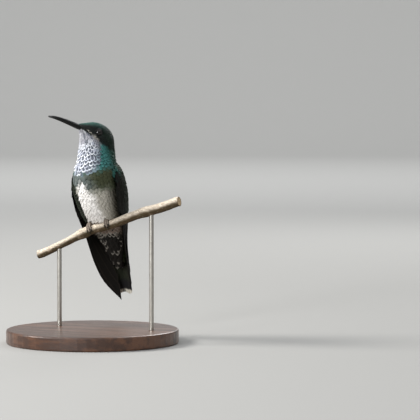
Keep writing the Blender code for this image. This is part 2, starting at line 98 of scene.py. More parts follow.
# Sections of a folded wing: leading edge, trailing edge, outward bulge and thickness
WING = {
    "left": (
        ((9.3, 4.4, 31.4), (4.4, -8.0, 34.0), 1.2, 1.2),
        ((11.5, 5.2, 27.3), (5.0, -11.8, 29.8), 2.2, 2.4),
        ((12.7, 4.6, 21.4), (5.1, -15.0, 24.0), 2.7, 2.9),
        ((12.7, 3.2, 14.4), (4.9, -17.8, 16.6), 2.9, 3.0),
        ((11.7, -1.7, 7.0), (4.5, -19.9, 8.4), 2.2, 2.8),
        ((10.6, -6.2, -0.6), (4.2, -21.6, 0.2), 1.4, 2.4),
        ((9.5, -10.2, -8.0), (3.7, -23.2, -7.4), 0.8, 2.0),
        ((8.1, -15.2, -15.2), (4.2, -24.4, -15.0), 0.4, 1.6),
        ((6.9, -20.6, -22.8), (4.7, -25.6, -22.6), 0.3, 1.2),
        ((5.6, -26.2, -30.6), (5.2, -26.8, -30.4), 0.1, 0.8),
    ),
    "right": (
        ((-9.2, 4.0, 29.8), (-4.4, -8.4, 32.8), 1.6, 1.2),
        ((-11.8, 4.6, 26.0), (-5.0, -11.8, 28.8), 2.8, 2.4),
        ((-12.7, 3.6, 20.0), (-5.2, -15.0, 22.4), 3.0, 2.9),
        ((-12.6, 2.0, 12.5), (-5.0, -18.0, 14.8), 2.8, 2.9),
        ((-11.5, -0.8, 5.0), (-4.6, -20.2, 6.6), 2.2, 2.7),
        ((-10.3, -5.0, -2.8), (-4.4, -21.8, -1.6), 1.4, 2.3),
        ((-10.0, -9.8, -11.0), (-4.4, -22.6, -10.2), 0.9, 1.9),
        ((-9.5, -14.6, -19.4), (-3.2, -22.0, -18.8), 0.5, 1.5),
        ((-7.4, -20.6, -28.8), (-1.4, -25.0, -27.8), 0.3, 1.1),
        ((-0.2, -27.4, -39.0), (-0.6, -27.7, -38.7), 0.1, 0.8),
    ),
}
WING_THINNEST = 0.5
PRIMARIES, SECONDARIES = 10, 6
LONGEST_TIP, TIP_STEP = 0.989, 0.075  # shares of the wing's length

TAIL_ROOT, TAIL_TIP = (0.5, -24.6, -20.7), (-0.6, -29.6, -35.6)
TAIL_HALF_WIDTHS, TAIL_ARCH = (3.7, 5.1), 0.9
RECTRICES = 10

BILL = (  # forward in the head's frame, up, depth, width
    (11.35, 50.75, 2.8, 3.05),
    (14.6, 52.1, 2.6, 2.5),
    (17.8, 53.35, 2.35, 2.1),
    (21.0, 54.5, 2.0, 1.75),
    (24.2, 55.4, 1.5, 1.3),
    (27.1, 55.9, 0.75, 0.75),
)
BILL_GAPE = 0.12

PERCH = (  # x, height of the branch's middle, its sideways waver, its radius
    (-34.0, -14.2, -0.3, 2.25),
    (-28.0, -12.1, -0.2, 2.1),
    (-22.5, -9.6, 0.0, 2.0),
    (-17.0, -7.1, 0.1, 2.0),
    (-12.5, -4.9, 0.1, 2.15),
    (-9.0, -3.2, 0.0, 2.7),
    (-7.2, -2.5, 0.0, 2.7),
    (-4.5, -1.4, 0.0, 2.4),
    (-1.0, -0.2, 0.0, 2.35),
    (5.0, 1.3, 0.0, 2.35),
    (11.5, 3.3, 0.1, 2.4),
    (17.5, 5.6, 0.2, 2.4),
    (23.0, 7.5, 0.3, 2.45),
    (27.5, 8.8, 0.4, 2.75),
    (31.0, 9.8, 0.3, 2.55),
    (38.0, 11.9, 0.0, 2.5),
    (45.0, 14.2, -0.3, 2.45),
)
FOOT_X = {"right": -3.4, "left": 6.4}
TOE_RADIUS, TOE_LEAN, TOE_CLEAR = 0.42, -0.35, 0.3
TOES = (  # name, how far it spreads sideways, and where it starts and its sweep round the branch in degrees
    ("inner", 1.0, -40, 124),
    ("middle", 0.0, -44, 146),
    ("outer", -1.0, -40, 124),
    ("hind", 0.2, -54, -92),
)
ANKLE = (-0.7, -2.7, 3.1)
CLAW_RADIUS, CLAW_STEP, CLAW_HOOK = 0.33, 0.42, 0.55

# How far the skin lies inside the plumage's outline, at stations along the body
COAT_STATIONS = (0, 1, 2.5, 5, 8, 10, 13.5, 15, 17)
COAT_DEPTHS = (0.2, 0.35, 0.5, 0.65, 0.85, 1.0, 1.0, 0.8, 0.5)

PATCH = 0.003  # a feather's own patch on the bake map
SKIN_MAP_WIDTH = 0.98  # how much of the bake map one turn round the skin takes


# ---------------------------------------------------------------- forms


def together(*parts):
    """Numbers side by side along a new last axis. Each part is a number or an array."""
    return np.stack(np.broadcast_arrays(*parts), -1)


def spline(values, t):
    """Catmull-Rom through values, one row for each whole t."""
    rows = np.asarray(values, float)
    rows = rows.reshape(len(rows), -1)
    t = np.atleast_1d(np.asarray(t, float))
    first = np.clip(np.floor(t).astype(int), 0, len(rows) - 2)
    u = (t - first)[:, None]
    before, start = rows[np.maximum(first - 1, 0)], rows[first]
    end, after = rows[first + 1], rows[np.minimum(first + 2, len(rows) - 1)]
    curved = 2 * before - 5 * start + 4 * end - after
    return start + 0.5 * u * (end - before + u * (curved + u * (3 * (start - end) + after - before)))


def world(places):
    """Frame millimetres of places given as (x, forward, up)."""
    return np.asarray(places, float) * TO_FRAME + FEET


def bird_place(places):
    """(x, forward, up) of places given in the frame's millimetres."""
    return (np.asarray(places, float) - FEET) * TO_FRAME


def unit(vectors):
    return vectors / np.maximum(np.linalg.norm(vectors, axis=-1, keepdims=True), 1e-9)


def smooth(value, low, high):
    """0 below low, 1 above high, with a soft step between."""
    share = np.clip((np.asarray(value, float) - low) / (high - low), 0, 1)
    return share * share * (3 - 2 * share)


def dots(a, b):
    return (a * b).sum(-1, keepdims=True)


def slopes(place, u, v, step=1e-3):
    """How the places of a surface change with each of their two numbers."""
    return ((place(u + step, v) - place(u - step, v)) / (2 * step),
            (place(u, v + step) - place(u, v - step)) / (2 * step))


def facing(turn):
    """The ways to the left and ahead of what is turned about the upright by degrees."""
    turn = np.radians(turn)
    return together(np.cos(turn), np.sin(turn), 0.0), together(-np.sin(turn), np.cos(turn), 0.0)


def outer_place(t, around):
    """The outline of the plumage, as the solids give it."""
    t, around = np.broadcast_arrays(np.asarray(t, float), np.asarray(around, float))
    shape, around = t.shape, around.reshape(-1, 1)
    rows = spline(BODY, t.ravel()).T[..., None]
    turn, aside, back_ahead, back_up, belly_ahead, belly_up, half_width, narrowing = rows
    left, ahead = facing(turn[:, 0])
    axis = np.array((*NECK_AXIS, 0.0)) + aside * (1, 0, 0)
    back = axis + back_ahead * ahead + back_up * UP
    belly = axis + belly_ahead * ahead + belly_up * UP
    sideways = half_width * np.sin(around) * (1 + narrowing * np.cos(around))
    return ((back + belly) / 2 - np.cos(around) * (back - belly) / 2 + sideways * left).reshape(shape + (3,))


def outwards(t, around):
    along, across = slopes(outer_place, np.clip(t, 1e-3, BODY_END - 1e-3), around)
    return unit(np.cross(across, along))


def coat_depth(t):
    return np.interp(t, COAT_STATIONS, COAT_DEPTHS)


def skin_place(t, around):
    return outer_place(t, around) - outwards(t, around) * coat_depth(t)[..., None]


def head_place(forward, sideways, up):
    """Places given in the turned head's frame."""
    left, ahead = facing(HEAD_TURN)
    forward, sideways, up = (np.asarray(part, float)[..., None] for part in (forward, sideways, up))
    return np.array((*NECK_AXIS, 0.0)) + forward * ahead + sideways * left + up * UP


def perch_row(x):
    """The branch's rows at x: x, its middle's height, its sideways waver and its radius."""
    table = np.array(PERCH)
    return spline(table, np.interp(x, table[:, 0], np.arange(len(table))))


def perch_axis(x):
    row = perch_row(x)
    return together(np.atleast_1d(x), row[:, 2], row[:, 1])


def clear_of_perch(places, space):
    """Moves places that lie within the branch, or nearer to it than space, straight out from its middle."""
    flat = places.reshape(-1, 3)
    near = np.clip(flat[:, 0], PERCH[0][0], PERCH[-1][0])
    axis = perch_axis(near)
    axis[:, 0] = flat[:, 0]
    away = flat - axis
    wanted = perch_row(near)[:, 3] * 1.03 + space
    stretch = np.maximum(wanted / np.maximum(np.linalg.norm(away, axis=1), 1e-6), 1)
    return (axis + away * stretch[:, None]).reshape(places.shape)


# ---------------------------------------------------------------- mesh helpers


def new_object(name, data):
    obj = bpy.data.objects.new(name, data)
    bpy.context.scene.collection.objects.link(obj)
    return obj


def add_values(mesh, name, kind, domain, values):
    """A named attribute on the mesh, such as a UV map or a value for each point."""
    attribute = mesh.attributes.new(name, kind, domain)
    field = "value" if kind == "FLOAT" else "vector"
    attribute.data.foreach_set(field, np.ascontiguousarray(values, np.float32).ravel())


def mesh_from(name, places, faces, point_values=(), material=None, bake_map=None):
    """A smooth mesh from (x, forward, up) places, with named vector values for each point.

    bake_map has a place on the bake map for each corner of the faces, in their order.
    """
    mesh = bpy.data.meshes.new(name)
    mesh.from_pydata((world(places).reshape(-1, 3) * MM).tolist(), [], faces)
    for label, values in dict(point_values).items():
        add_values(mesh, label, "FLOAT_VECTOR", "POINT", values)
    if bake_map is not None:
        add_values(mesh, "OFBake", "FLOAT2", "CORNER", bake_map)
    mesh.shade_smooth()
    if material:
        mesh.materials.append(material)
    return mesh


def corners(grid):
    """The four corners of each cell of a grid."""
    return np.stack([grid[:-1, :-1], grid[:-1, 1:], grid[1:, 1:], grid[1:, :-1]], 2)


def sheet(numbers):
    """Faces between neighbours in a grid of points' numbers: quads, or triangles where corners meet."""
    return [tuple(dict.fromkeys(face)) for face in corners(numbers).reshape(-1, 4).tolist()]


def tube_faces(count, sides):
    """Quads between closed rings of points, with a cap at each end."""
    numbers = np.arange(count * sides).reshape(count, sides)
    return sheet(np.hstack([numbers, numbers[:, :1]])) + numbers[[0, -1]].tolist()


def tube_map(values, turn):
    """A map's places for the corners of a tube's faces.

    The quads over its seam reach on by turn, the width of one turn round it.
    """
    quads = corners(np.hstack([values, values[:, :1] + (turn, 0)]))
    return np.concatenate([quads.reshape(-1, 2), values[0], values[-1]])


def tube_run(count, sides):
    """The shares of the way round and along a tube at which its rings' points lie."""
    return np.meshgrid(np.linspace(0, 1, sides, endpoint=False), np.linspace(0, 1, count))


def face_outwards(mesh, sharpest=None):
    """Turns a closed mesh's faces outwards, and makes edges sharp that bend by more than sharpest degrees."""
    form = bmesh.new()
    form.from_mesh(mesh)
    bmesh.ops.recalc_face_normals(form, faces=form.faces)
    form.to_mesh(mesh)
    form.free()
    if sharpest:
        mesh.set_sharp_from_angle(angle=math.radians(sharpest))


def capped_tube(name, rings, material, point_values=(), bake_map=None, sharpest=60):
    """A closed form through rings of places, each with the same number of points."""
    count, sides = np.shape(rings)[:2]
    values = {"run": together(*tube_run(count, sides), 0.0)} | dict(point_values)
    mesh = mesh_from(name, rings, tube_faces(count, sides), values, material, bake_map)
    face_outwards(mesh, sharpest)
    return mesh


def rings_along(places, radii, sides):
    """Round rings square to a path, each turned as little as can be from the one before."""
    side = UP
    angles = np.linspace(0, FULL_TURN, sides, endpoint=False)[:, None]
    rings = []
    for place, run, radius in zip(places, unit(np.gradient(places, axis=0)), radii):
        side = unit(side - run * (side @ run))
        rings.append(place + radius * (np.cos(angles) * side + np.sin(angles) * np.cross(run, side)))
    return np.array(rings)


def joined(name, meshes):
    """One mesh out of several that share their named values and finishes."""
    form = bmesh.new()
    for mesh in meshes:
        form.from_mesh(mesh)
    whole = bpy.data.meshes.new(name)
    form.to_mesh(whole)
    form.free()
    for material in meshes[0].materials:
        whole.materials.append(material)
    return whole


def place_piece(name, mesh, slot, *nodes):
    """Shows a finished mesh as a piece that rides on the model and stands for the named solids."""
    mesh.name = name
    piece = new_object(name, mesh)
    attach(piece, "root")
    if nodes:
        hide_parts(*nodes)
    return piece


# ---------------------------------------------------------------- nodes


class Socket:
    """An output socket that Python arithmetic carries on with Math nodes."""

    def __init__(self, nodes, socket):
        self.nodes, self.socket = nodes, socket

    def maths(self, operation, *inputs):
        return self.nodes.add("ShaderNodeMath", {"operation": operation}, dict(enumerate(inputs)))

    def __add__(self, other):
        return self.maths("ADD", self, other)

    __radd__ = __add__

    def __sub__(self, other):
        return self.maths("SUBTRACT", self, other)

    def __rsub__(self, other):
        return self.maths("SUBTRACT", other, self)

    def __mul__(self, other):
        return self.maths("MULTIPLY", self, other)

    __rmul__ = __mul__

    def __truediv__(self, other):
        return self.maths("DIVIDE", self, other)

    def __pow__(self, other):
        return self.maths("POWER", self, other)

    def __abs__(self):
        return self.maths("ABSOLUTE", self)

    def sine(self):
        return self.maths("SINE", self)

    def largest(self, other):
        return self.maths("MAXIMUM", self, other)


class Nodes:
    """Adds nodes to one tree. Each takes its settings first, then the values or links of its sockets."""

    def __init__(self, tree):
        self.tree = tree

    def plug(self, socket, value):
        if isinstance(value, Socket):
            self.tree.links.new(value.socket, socket)
        else:
            socket.default_value = value

    def add(self, kind, settings=(), inputs=(), output=0):
        node = self.tree.nodes.new(kind)
        for name, value in dict(settings).items():
            if name == "stops":
                self.set_stops(node.color_ramp, value)
            else:
                setattr(node, name, value)
        for key, value in dict(inputs).items():
            self.plug(node.inputs[key], value)
        return Socket(self, node.outputs[output])

    def set_stops(self, ramp, stops):
        while len(ramp.elements) < len(stops):
            ramp.elements.new(1.0)
        for element, (position, colour) in zip(ramp.elements, stops):
            element.position = position
            element.color = colour

    def split(self, vector):
        """A vector's three numbers."""
        x = self.add("ShaderNodeSeparateXYZ", (), {0: vector})
        return [Socket(self, output) for output in x.socket.node.outputs]

    def join(self, x, y, z):
        return self.add("ShaderNodeCombineXYZ", (), {0: x, 1: y, 2: z})

    def vectors(self, operation, inputs, output=0):
        return self.add("ShaderNodeVectorMath", {"operation": operation}, inputs, output)


def paint(*screen):
    """A linear colour from its red, green and blue on a screen, 0 to 255."""
    linear = [((value / 255 + 0.055) / 1.055) ** 2.4 if value > 10 else value / 3294 for value in screen]
    return (*linear, 1)


class Finish(Nodes):
    """A material and its Principled shader, whose sockets are named with underscores for spaces.

    A plain colour is its red, green and blue on a screen, 0 to 255.
    """

    def __init__(self, name, **constants):
        self.material = bpy.data.materials.new(name)
        self.material.use_nodes = True
        super().__init__(self.material.node_tree)
        self.feed(**constants)

    def feed(self, **values):
        for name, value in values.items():
            self.plug(self.tree.nodes["Principled BSDF"].inputs[name.replace("_", " ")], value)

    def made(self, colour, roughness, bumps, depth, strength=1.0, **values):
        """The material, with its shader fed. The bumps are depth millimetres high."""
        bump = self.add("ShaderNodeBump", (), {"Height": bumps, "Distance": depth * MM, "Strength": strength})
        self.feed(Base_Color=colour, Roughness=roughness, Normal=bump, **values)
        return self.material

    def attribute(self, name):
        return self.split(self.add("ShaderNodeAttribute", {"attribute_name": name}, (), 1))

    def places(self):
        """The model's own coordinates, in millimetres."""
        return self.vectors("SCALE", {0: self.add("ShaderNodeTexCoord", (), (), 3), 3: 1000.0})

    def rise(self, value, low, high):
        """0 below low, 1 above high, with a soft step between."""
        settings = {"interpolation_type": "SMOOTHSTEP"}
        return self.add("ShaderNodeMapRange", settings, {0: value, 1: low, 2: high})

    def fall(self, value, low, high):
        """1 below low, 0 above high, with a soft step between."""
        return 1 - self.rise(value, low, high)

    def window(self, value, low, high, soft):
        """1 from low to high, with steps as wide as soft to either side of both."""
        return self.rise(value, low - soft, low + soft) * self.fall(value, high - soft, high + soft)

    def blend(self, share, *colours):
        first, second = (paint(*colour) if isinstance(colour, tuple) else colour for colour in colours)
        return self.add("ShaderNodeMix", {"data_type": "RGBA"}, {0: share, 6: first, 7: second}, 2)

    def layered(self, colour, *layers):
        """A colour with others laid over it, each where its share says."""
        for share, over in layers:
            colour = self.blend(share, colour, over)
        return colour

    def dim(self, colour, factor):
        return self.vectors("SCALE", {0: colour, 3: factor})

    def curve(self, value, points, span):
        """A number that follows points of (value from 0 to 1, height) by straight lines, up to span."""
        stops = [(place, (height / span,) * 3 + (1,)) for place, height in points]
        return self.add("ShaderNodeValToRGB", {"stops": stops}, {0: value}) * span

    def speckle(self, vector, scale, detail=2.0, roughness=0.5):
        inputs = {"Vector": vector, "Scale": scale, "Detail": detail, "Roughness": roughness}
        return self.add("ShaderNodeTexNoise", (), inputs)

    def stretched(self, vector, factors):
        return self.vectors("MULTIPLY", {0: vector, 1: factors})


# ---------------------------------------------------------------- finishes

# Where the plumage's markings lie: stations along the body, and degrees from the belly's middle
HOOD_EDGE = ((0, 42), (1.2, 56), (2, 64), (3, 72), (4, 80), (5, 86), (6, 92),
             (6.8, 104), (7.3, 124), (7.8, 180))
THROAT_EDGE = ((0, 66), (4, 84), (5.5, 90), (6.3, 84), (7, 76), (8, 67), (8.5, 58),
               (8.8, 44), (9.05, 14), (9.2, 0))
BELLY_EDGE = ((9.75, 0), (10.3, 14), (11, 27), (11.7, 34), (12.6, 37), (13.3, 36), (13.8, 24), (14.1, 0))
MALAR_LINE = ((1.8, 84), (3, 79.5), (4, 82), (5.2, 86))
CHIN_STRIPE = 34  # degrees from one of the chin's dark stripes to the next
BARB_STEP = 0.34  # millimetres from one barb of a long feather to the next
GROWTH_RINGS, WOOD_RINGS = 6, 16


def barbs(finish, across, along, tone):
    """Fine streaks that run out from a feather's shaft towards its tip."""
    slanted = along - abs(across) * 0.35
    return finish.speckle(finish.join(slanted * 16, abs(across) * 1.5, tone * 9), 1.0, 1.5)


def throat_scales(finish, around, t, tone, side, along, inwards):
    """White feathers with a dark middle, streaked on the chin, and duller there and at the throat's edge."""
    white = finish.blend(finish.rise(tone, -1, 1), (186, 190, 204), (238, 241, 246))
    grey = finish.blend(finish.rise(t, 5.4, 6.6), (118, 110, 110), (104, 126, 134))
    dull = (finish.fall(inwards, 3, 32) * 0.9).largest(finish.fall(t, 3.0, 5.2) * 0.55)
    chin = finish.fall(t, 4.2, 5.2)
    disc = finish.fall((side / 0.72) ** 2 + ((along - 0.60).largest(0.0) / 0.24) ** 2, 0.3, 1.3)
    streak = finish.fall(side, 0.28, 0.62) * finish.rise(along, 0.3, 0.5)
    dark = (disc + (streak - disc) * chin) * finish.rise(tone, -0.95, -0.5)
    wander = finish.speckle(finish.places(), 0.5) * 3
    stripes = finish.rise((around * (FULL_TURN * 180 / CHIN_STRIPE) + wander + 0.6).sine(), 0.1, 0.8)
    stripes = stripes * finish.window(t, 1.2, 4.6, 0.5) * finish.rise(around, -0.1, 0.05)
    dark = (dark * (1 - chin * 0.6)).largest(stripes * 0.85)
    return finish.layered(white, (dull, grey), (dark, (86, 91, 101)))


def plumage_finish():
    """The body's feathers and the skin beneath them, with the bird's markings, painted shade on the breast
    band's left side, the flanks by the wings and the vent, and painted light on the belly's right side.
    """
    finish = Finish("plumage", Specular_IOR_Level=0.2)
    around, station, tone = finish.attribute("spot")
    across, along, _ = finish.attribute("vane")
    t = station * BODY_END
    turn = abs(around) * 180 + tone * 3
    side = abs(across)
    rim = finish.rise(side.largest((along - 0.55) * 2.2), 0.62, 0.95)

    def edge(points):
        """Where a marking ends, in degrees from the belly's middle."""
        return finish.curve(station, [(place / BODY_END, height) for place, height in points], 180)

    hood = finish.rise(turn - edge(HOOD_EDGE), -4, 3) * finish.fall(t, 7.4, 8.0)
    in_throat = edge(THROAT_EDGE) - turn
    throat = finish.rise(in_throat, -3, 4) * (1 - hood) * finish.fall(t, 8.9, 9.3)
    # The belly's white is centred nine degrees towards the bird's right: painted light, the lit side shown
    # whiter.
    in_belly = edge(BELLY_EDGE) - abs(around + 0.05) * 180 + tone * 5
    belly = finish.rise(in_belly, -12, 12) * finish.rise(t, 9.45, 10.15) * finish.fall(t, 12.9, 13.8)
    neck = finish.window(t, 5.5, 9.4, 0.4) * finish.fall(turn, 128, 160)
    breast = finish.window(t + turn * 0.004, 9.0, 10.5, 0.35) * finish.fall(turn, 85, 105)
    flank = finish.rise(t + turn * 0.002 + tone * 0.12, 10.0, 11.0) * finish.fall(turn, 95, 115)
    vent = finish.window(t + tone * 0.1, 13.3, 14.15, 0.25) * finish.fall(turn, 70, 95)
    undertail = finish.rise(t + tone * 0.1, 14.0, 14.4) * finish.fall(turn, 95, 115)
    crown = finish.rise(turn, 118, 165) * finish.fall(t, 3.8, 6.0)
    nape = finish.rise(t, 3.6, 6.0) * finish.rise(turn, 92, 125)
    malar = finish.window(t, 2.0, 5.0, 0.3) * finish.window(turn - edge(MALAR_LINE), -3.4, 3.4, 1.4)
    gape = finish.window(t, 0.9, 1.8, 0.2) * finish.window(turn, 50, 62, 2.5)

    teal = finish.blend(finish.rise(turn, 88, 112), (60, 112, 108), (22, 60, 48))
    # The breast band's grey-green turns darker and more olive towards the bird's left: painted shade on that
    # side over the band's own colour.
    breast_band_shaded_left = finish.blend(finish.rise(around, 0.02, 0.24), (86, 94, 92), (60, 64, 44))
    # The flank's own grey-brown, darkened towards the wing as painted shade beneath it.
    flank_grey_shaded_by_wing = finish.blend(finish.rise(turn, 35, 80), (168, 164, 154), (84, 80, 70))
    dark = finish.layered((17, 20, 18), (crown, (54, 90, 82)), (nape, (10, 30, 16)))
    fringe = finish.rise(side.largest((along - 0.5) * 2.2), 0.45, 0.8) * finish.rise(along, 0.45, 0.6)
    colour = finish.layered(
        finish.blend(rim, (46, 74, 38), (30, 48, 26)),
        (neck, finish.blend(rim * 0.5, teal, finish.dim(teal, 1.35))),
        (breast, finish.blend(rim * 0.35, breast_band_shaded_left, finish.dim(breast_band_shaded_left, 1.5))),
        (flank, finish.blend(rim, flank_grey_shaded_by_wing, finish.dim(flank_grey_shaded_by_wing, 1.25))),
        (belly, finish.blend(rim, (232, 229, 225), (246, 244, 241))),
        # The vent's own pinkish grey, darkened as painted shade where it lies beneath the branch.
        (vent, finish.blend(rim, (122, 108, 98), (164, 150, 139))),
        (undertail, finish.blend(fringe * finish.rise(tone, 0.15, 0.45), (24, 22, 19), (124, 121, 114))),
        (hood, finish.blend(rim * 0.5, dark, finish.dim(dark, 1.5))),
        (throat, throat_scales(finish, around, t, tone, side, along, in_throat)),
        (malar * 0.85, (158, 154, 144)),
        (gape * 0.7, (196, 200, 200)),
    )

    pale = throat.largest(belly).largest(vent).largest(flank)
    shine = 1 - pale.largest(breast * 0.7).largest(undertail * 0.8)
    streaks = barbs(finish, across, along, tone)
    shaft = finish.fall(side, 0.02, 0.08) * finish.fall(along, 0.8, 0.95) * 0.18
    colour = finish.dim(finish.dim(colour, tone * 0.09 + 1), streaks * 0.5 + 0.76 - shaft)
    roughness = 0.85 - shine * 0.42 + (streaks - 0.5) * 0.2
    return finish.made(colour, roughness, streaks, 0.06, Metallic=shine * (1 - hood * 0.5) * 0.5)


def quill_finish(name, web, edge, sheen, tip=None):
    """Wing and tail feathers: dark webs of slanting barbs on either side of a shaft, with paler edges."""
    finish = Finish(name, Specular_IOR_Level=0.15)
    rank, pale, tone = finish.attribute("spot")
    across, along, run = finish.attribute("vane")
    side = abs(across)
    slanted = run - side * 1.3
    fine = (slanted * (FULL_TURN / BARB_STEP)).sine() * 0.5 + 0.5
    broad = finish.speckle(finish.join(slanted * 1.4, side * 2, rank * 7), 1.0, 2.0)
    shaft = finish.fall(side, 0.03, 0.075)
    layers = [(finish.rise(side, 0.80, 1.0), edge)]
    if tip:
        layers.append((finish.window(along, 0.66, 0.98, 0.06), (22, 22, 24)))
        layers.append((finish.rise(along - side * 0.03, 0.86, 0.92) * pale, tip))
    colour = finish.dim(finish.layered(web, *layers, (shaft, (38, 31, 27))), broad * 0.7 + 0.62 + tone * 0.1)
    roughness = 0.60 + (broad - 0.5) * 0.3 - shaft * 0.12
    return finish.made(colour, roughness, fine * 0.6 + broad * 0.6, 0.05, Metallic=(1 - shaft) * sheen)


def covert_finish():
    """The small feathers over the wing's arm: glossy green at the shoulder, dark brown further down."""
    finish = Finish("wing_coverts", Specular_IOR_Level=0.15)
    share, reach, tone = finish.attribute("spot")
    across, along, _ = finish.attribute("vane")
    rim = finish.rise(abs(across).largest((along - 0.55) * 2.2), 0.6, 0.95)
    upper = finish.fall(share + tone * 0.03, 0.04, 0.20)
    front = finish.fall(reach + tone * 0.05, 0.05, 0.45)
    green = finish.blend(front, (36, 60, 34), (46, 94, 86))
    brown = finish.blend(front, (26, 34, 20), (18, 18, 15))
    colour = finish.blend(upper, brown, green)
    streaks = barbs(finish, across, along, tone)
    colour = finish.blend(rim * 0.4, colour, finish.dim(colour, 1.5))
    colour = finish.dim(colour, streaks * 0.4 + 0.8 + tone * 0.08)
    roughness = 0.6 - upper * 0.1 + (streaks - 0.5) * 0.2
    return finish.made(colour, roughness, streaks, 0.06, Metallic=0.08 + upper * 0.35)


def horn_finish(name, colour, worn):
    """Horn of the bill and claws: fine lengthwise grain under a soft gloss."""
    finish = Finish(name, Specular_IOR_Level=0.25)
    around, along, _ = finish.attribute("run")
    grain = finish.speckle(finish.join(around * 60, along * 5, 0.0), 1.0, 3.0)
    scuffs = finish.speckle(finish.places(), 1.6, 3.0)
    colour = finish.dim(finish.blend(finish.rise(scuffs, 0.5, 0.75) * 0.4, colour, worn), grain * 0.5 + 0.75)
    roughness = 0.36 + grain * 0.14 + scuffs * 0.14
    return finish.made(colour, roughness, grain, 0.03, 0.6, Coat_Weight=0.1 - scuffs * 0.1)


def eye_finish(centre, axis):
    """A dark brown iris round a black pupil, under a wet cornea."""
    finish = Finish("eye", Roughness=0.05, Specular_IOR_Level=0.45)
    from_middle = finish.vectors("SUBTRACT", {0: finish.places(), 1: centre})
    ahead = finish.vectors("DOT_PRODUCT", {0: from_middle, 1: axis}, 1)
    rays = finish.speckle(from_middle, 2.4, 3.0, 0.6)
    iris = finish.blend(finish.rise(rays, 0.35, 0.7), (20, 13, 10), (38, 23, 15))
    rim = finish.fall(ahead, EYE_RADIUS * 0.69, EYE_RADIUS * 0.74)
    pupil = finish.rise(ahead + rays * 0.03, EYE_RADIUS * 0.90, EYE_RADIUS * 0.92)
    finish.feed(Base_Color=finish.layered(iris, (rim, (8, 7, 6)), (pupil, (3, 3, 3))))
    return finish.material


def lid_finish():
    finish = Finish("eyelid_skin", Specular_IOR_Level=0.25)
    pores = finish.speckle(finish.places(), 5.0, 3.0, 0.6)
    return finish.made(finish.blend(pores, (16, 16, 16), (44, 43, 42)), 0.55 + pores * 0.2, pores, 0.06)


def foot_finish():
    """Dark scaled skin: a paler ridge to each scute along the toes."""
    finish = Finish("foot_skin", Specular_IOR_Level=0.3)
    _, _, scute = finish.attribute("run")
    mottle = finish.speckle(finish.places(), 3.0, 3.0)
    colour = finish.dim(finish.blend(mottle, (92, 80, 72), (166, 154, 140)), scute * 0.6 + 0.6)
    return finish.made(colour, 0.62 - scute * 0.18, finish.speckle(finish.places(), 9.0, 2.0), 0.03)


def bark_finish():
    """Twig bark with cracks and lichen, painted pale beige on top and browner beneath as light from above."""
    finish = Finish("bark", Specular_IOR_Level=0.2)
    _, _, height = finish.attribute("run")
    places = finish.places()
    fibres = finish.speckle(finish.stretched(places, (0.35, 1.6, 1.6)), 1.5, 5.0, 0.62)
    patches = finish.speckle(places, 0.28, 3.0, 0.55)
    grains = finish.speckle(places, 4.5, 3.0, 0.6)
    lichen = finish.rise(finish.speckle(places, 0.9, 4.0, 0.7), 0.62, 0.68)
    # Pale on top and brown beneath, by how far the surface faces up: painted light and shade from above, with
    # colour patches, fibres and lichen over it.
    colour = finish.layered(
        (66, 57, 38),
        (finish.rise(height + (patches - 0.5) * 0.6, -0.35, 0.45), (228, 215, 196)),
        (finish.rise(patches, 0.55, 0.7) * 0.4, (164, 142, 120)),
        (finish.rise(fibres, 0.60, 0.42) * 0.5, (92, 72, 54)),
        (lichen * 0.5, (188, 192, 166)),
    )
    colour = finish.dim(colour, grains * 0.4 + 0.8)
    return finish.made(colour, 0.75 + grains * 0.2, fibres * 0.8 + grains * 0.4, 0.22, 0.8)


def sawn_finish():
    """The branch's sawn ends: growth rings round a small pith, inside a ring of bark."""
    finish = Finish("sawn_end", Specular_IOR_Level=0.2)
    _, ring, _ = finish.attribute("run")
    places = finish.places()
    wander = finish.speckle(places, 0.9, 2.0)
    rings = ((ring + wander * 0.12) * (FULL_TURN * GROWTH_RINGS)).sine() * 0.5 + 0.5
    wood = finish.blend(rings, (176, 148, 112), (212, 190, 156))
    pith, rind = finish.fall(ring, 0.06, 0.11), finish.rise(ring, 0.86, 0.89)
    colour = finish.layered(wood, (pith, (120, 82, 54)), (rind, (92, 68, 50)))
    colour = finish.dim(colour, finish.speckle(places, 6.0, 2.0) * 0.3 + 0.85)
    return finish.made(colour, 0.85, rings, 0.05)


def stand_wood_finish():
    """Dark turned walnut: long rings stretched along X, with fine pores, under a satin varnish."""
    finish = Finish("stand_wood", Coat_Roughness=0.22)
    places = finish.places()
    bent = finish.speckle(finish.stretched(places, (0.012, 0.16, 0.16)), 1.0, 4.0, 0.55)
    rings = (bent * WOOD_RINGS + finish.split(places)[1] * 0.09).sine() * 0.5 + 0.5
    pores = finish.rise(finish.speckle(finish.stretched(places, (0.08, 2.2, 2.2)), 1.6, 2.0), 0.58, 0.70)
    colour = finish.layered((62, 38, 25), (rings, (96, 62, 41)), (pores * 0.6, (34, 21, 15)))
    roughness = 0.42 + pores * 0.2 - rings * 0.06
    return finish.made(colour, roughness, 1 - pores, 0.05, 0.5, Coat_Weight=0.35 - pores * 0.2)


def rod_finish():
    """Drawn steel rod, with fine rings and a few dull marks."""
    finish = Finish("stand_metal", Metallic=1.0)
    places = finish.places()
    drawn = finish.speckle(finish.stretched(places, (9.0, 9.0, 0.25)), 1.0, 2.0)
    marks = finish.speckle(places, 0.35, 4.0, 0.6)
    colour = finish.blend(marks, (170, 166, 158), (206, 203, 196))
    return finish.made(colour, 0.22 + drawn * 0.14 + marks * 0.12, drawn, 0.02, 0.4)


def floor_finish():
    looks = {"Base_Color": paint(164, 163, 160), "Roughness": 0.95, "Specular_IOR_Level": 0.1}
    return Finish("studio_floor", **looks).material


# ---------------------------------------------------------------- feathers laid over a surface

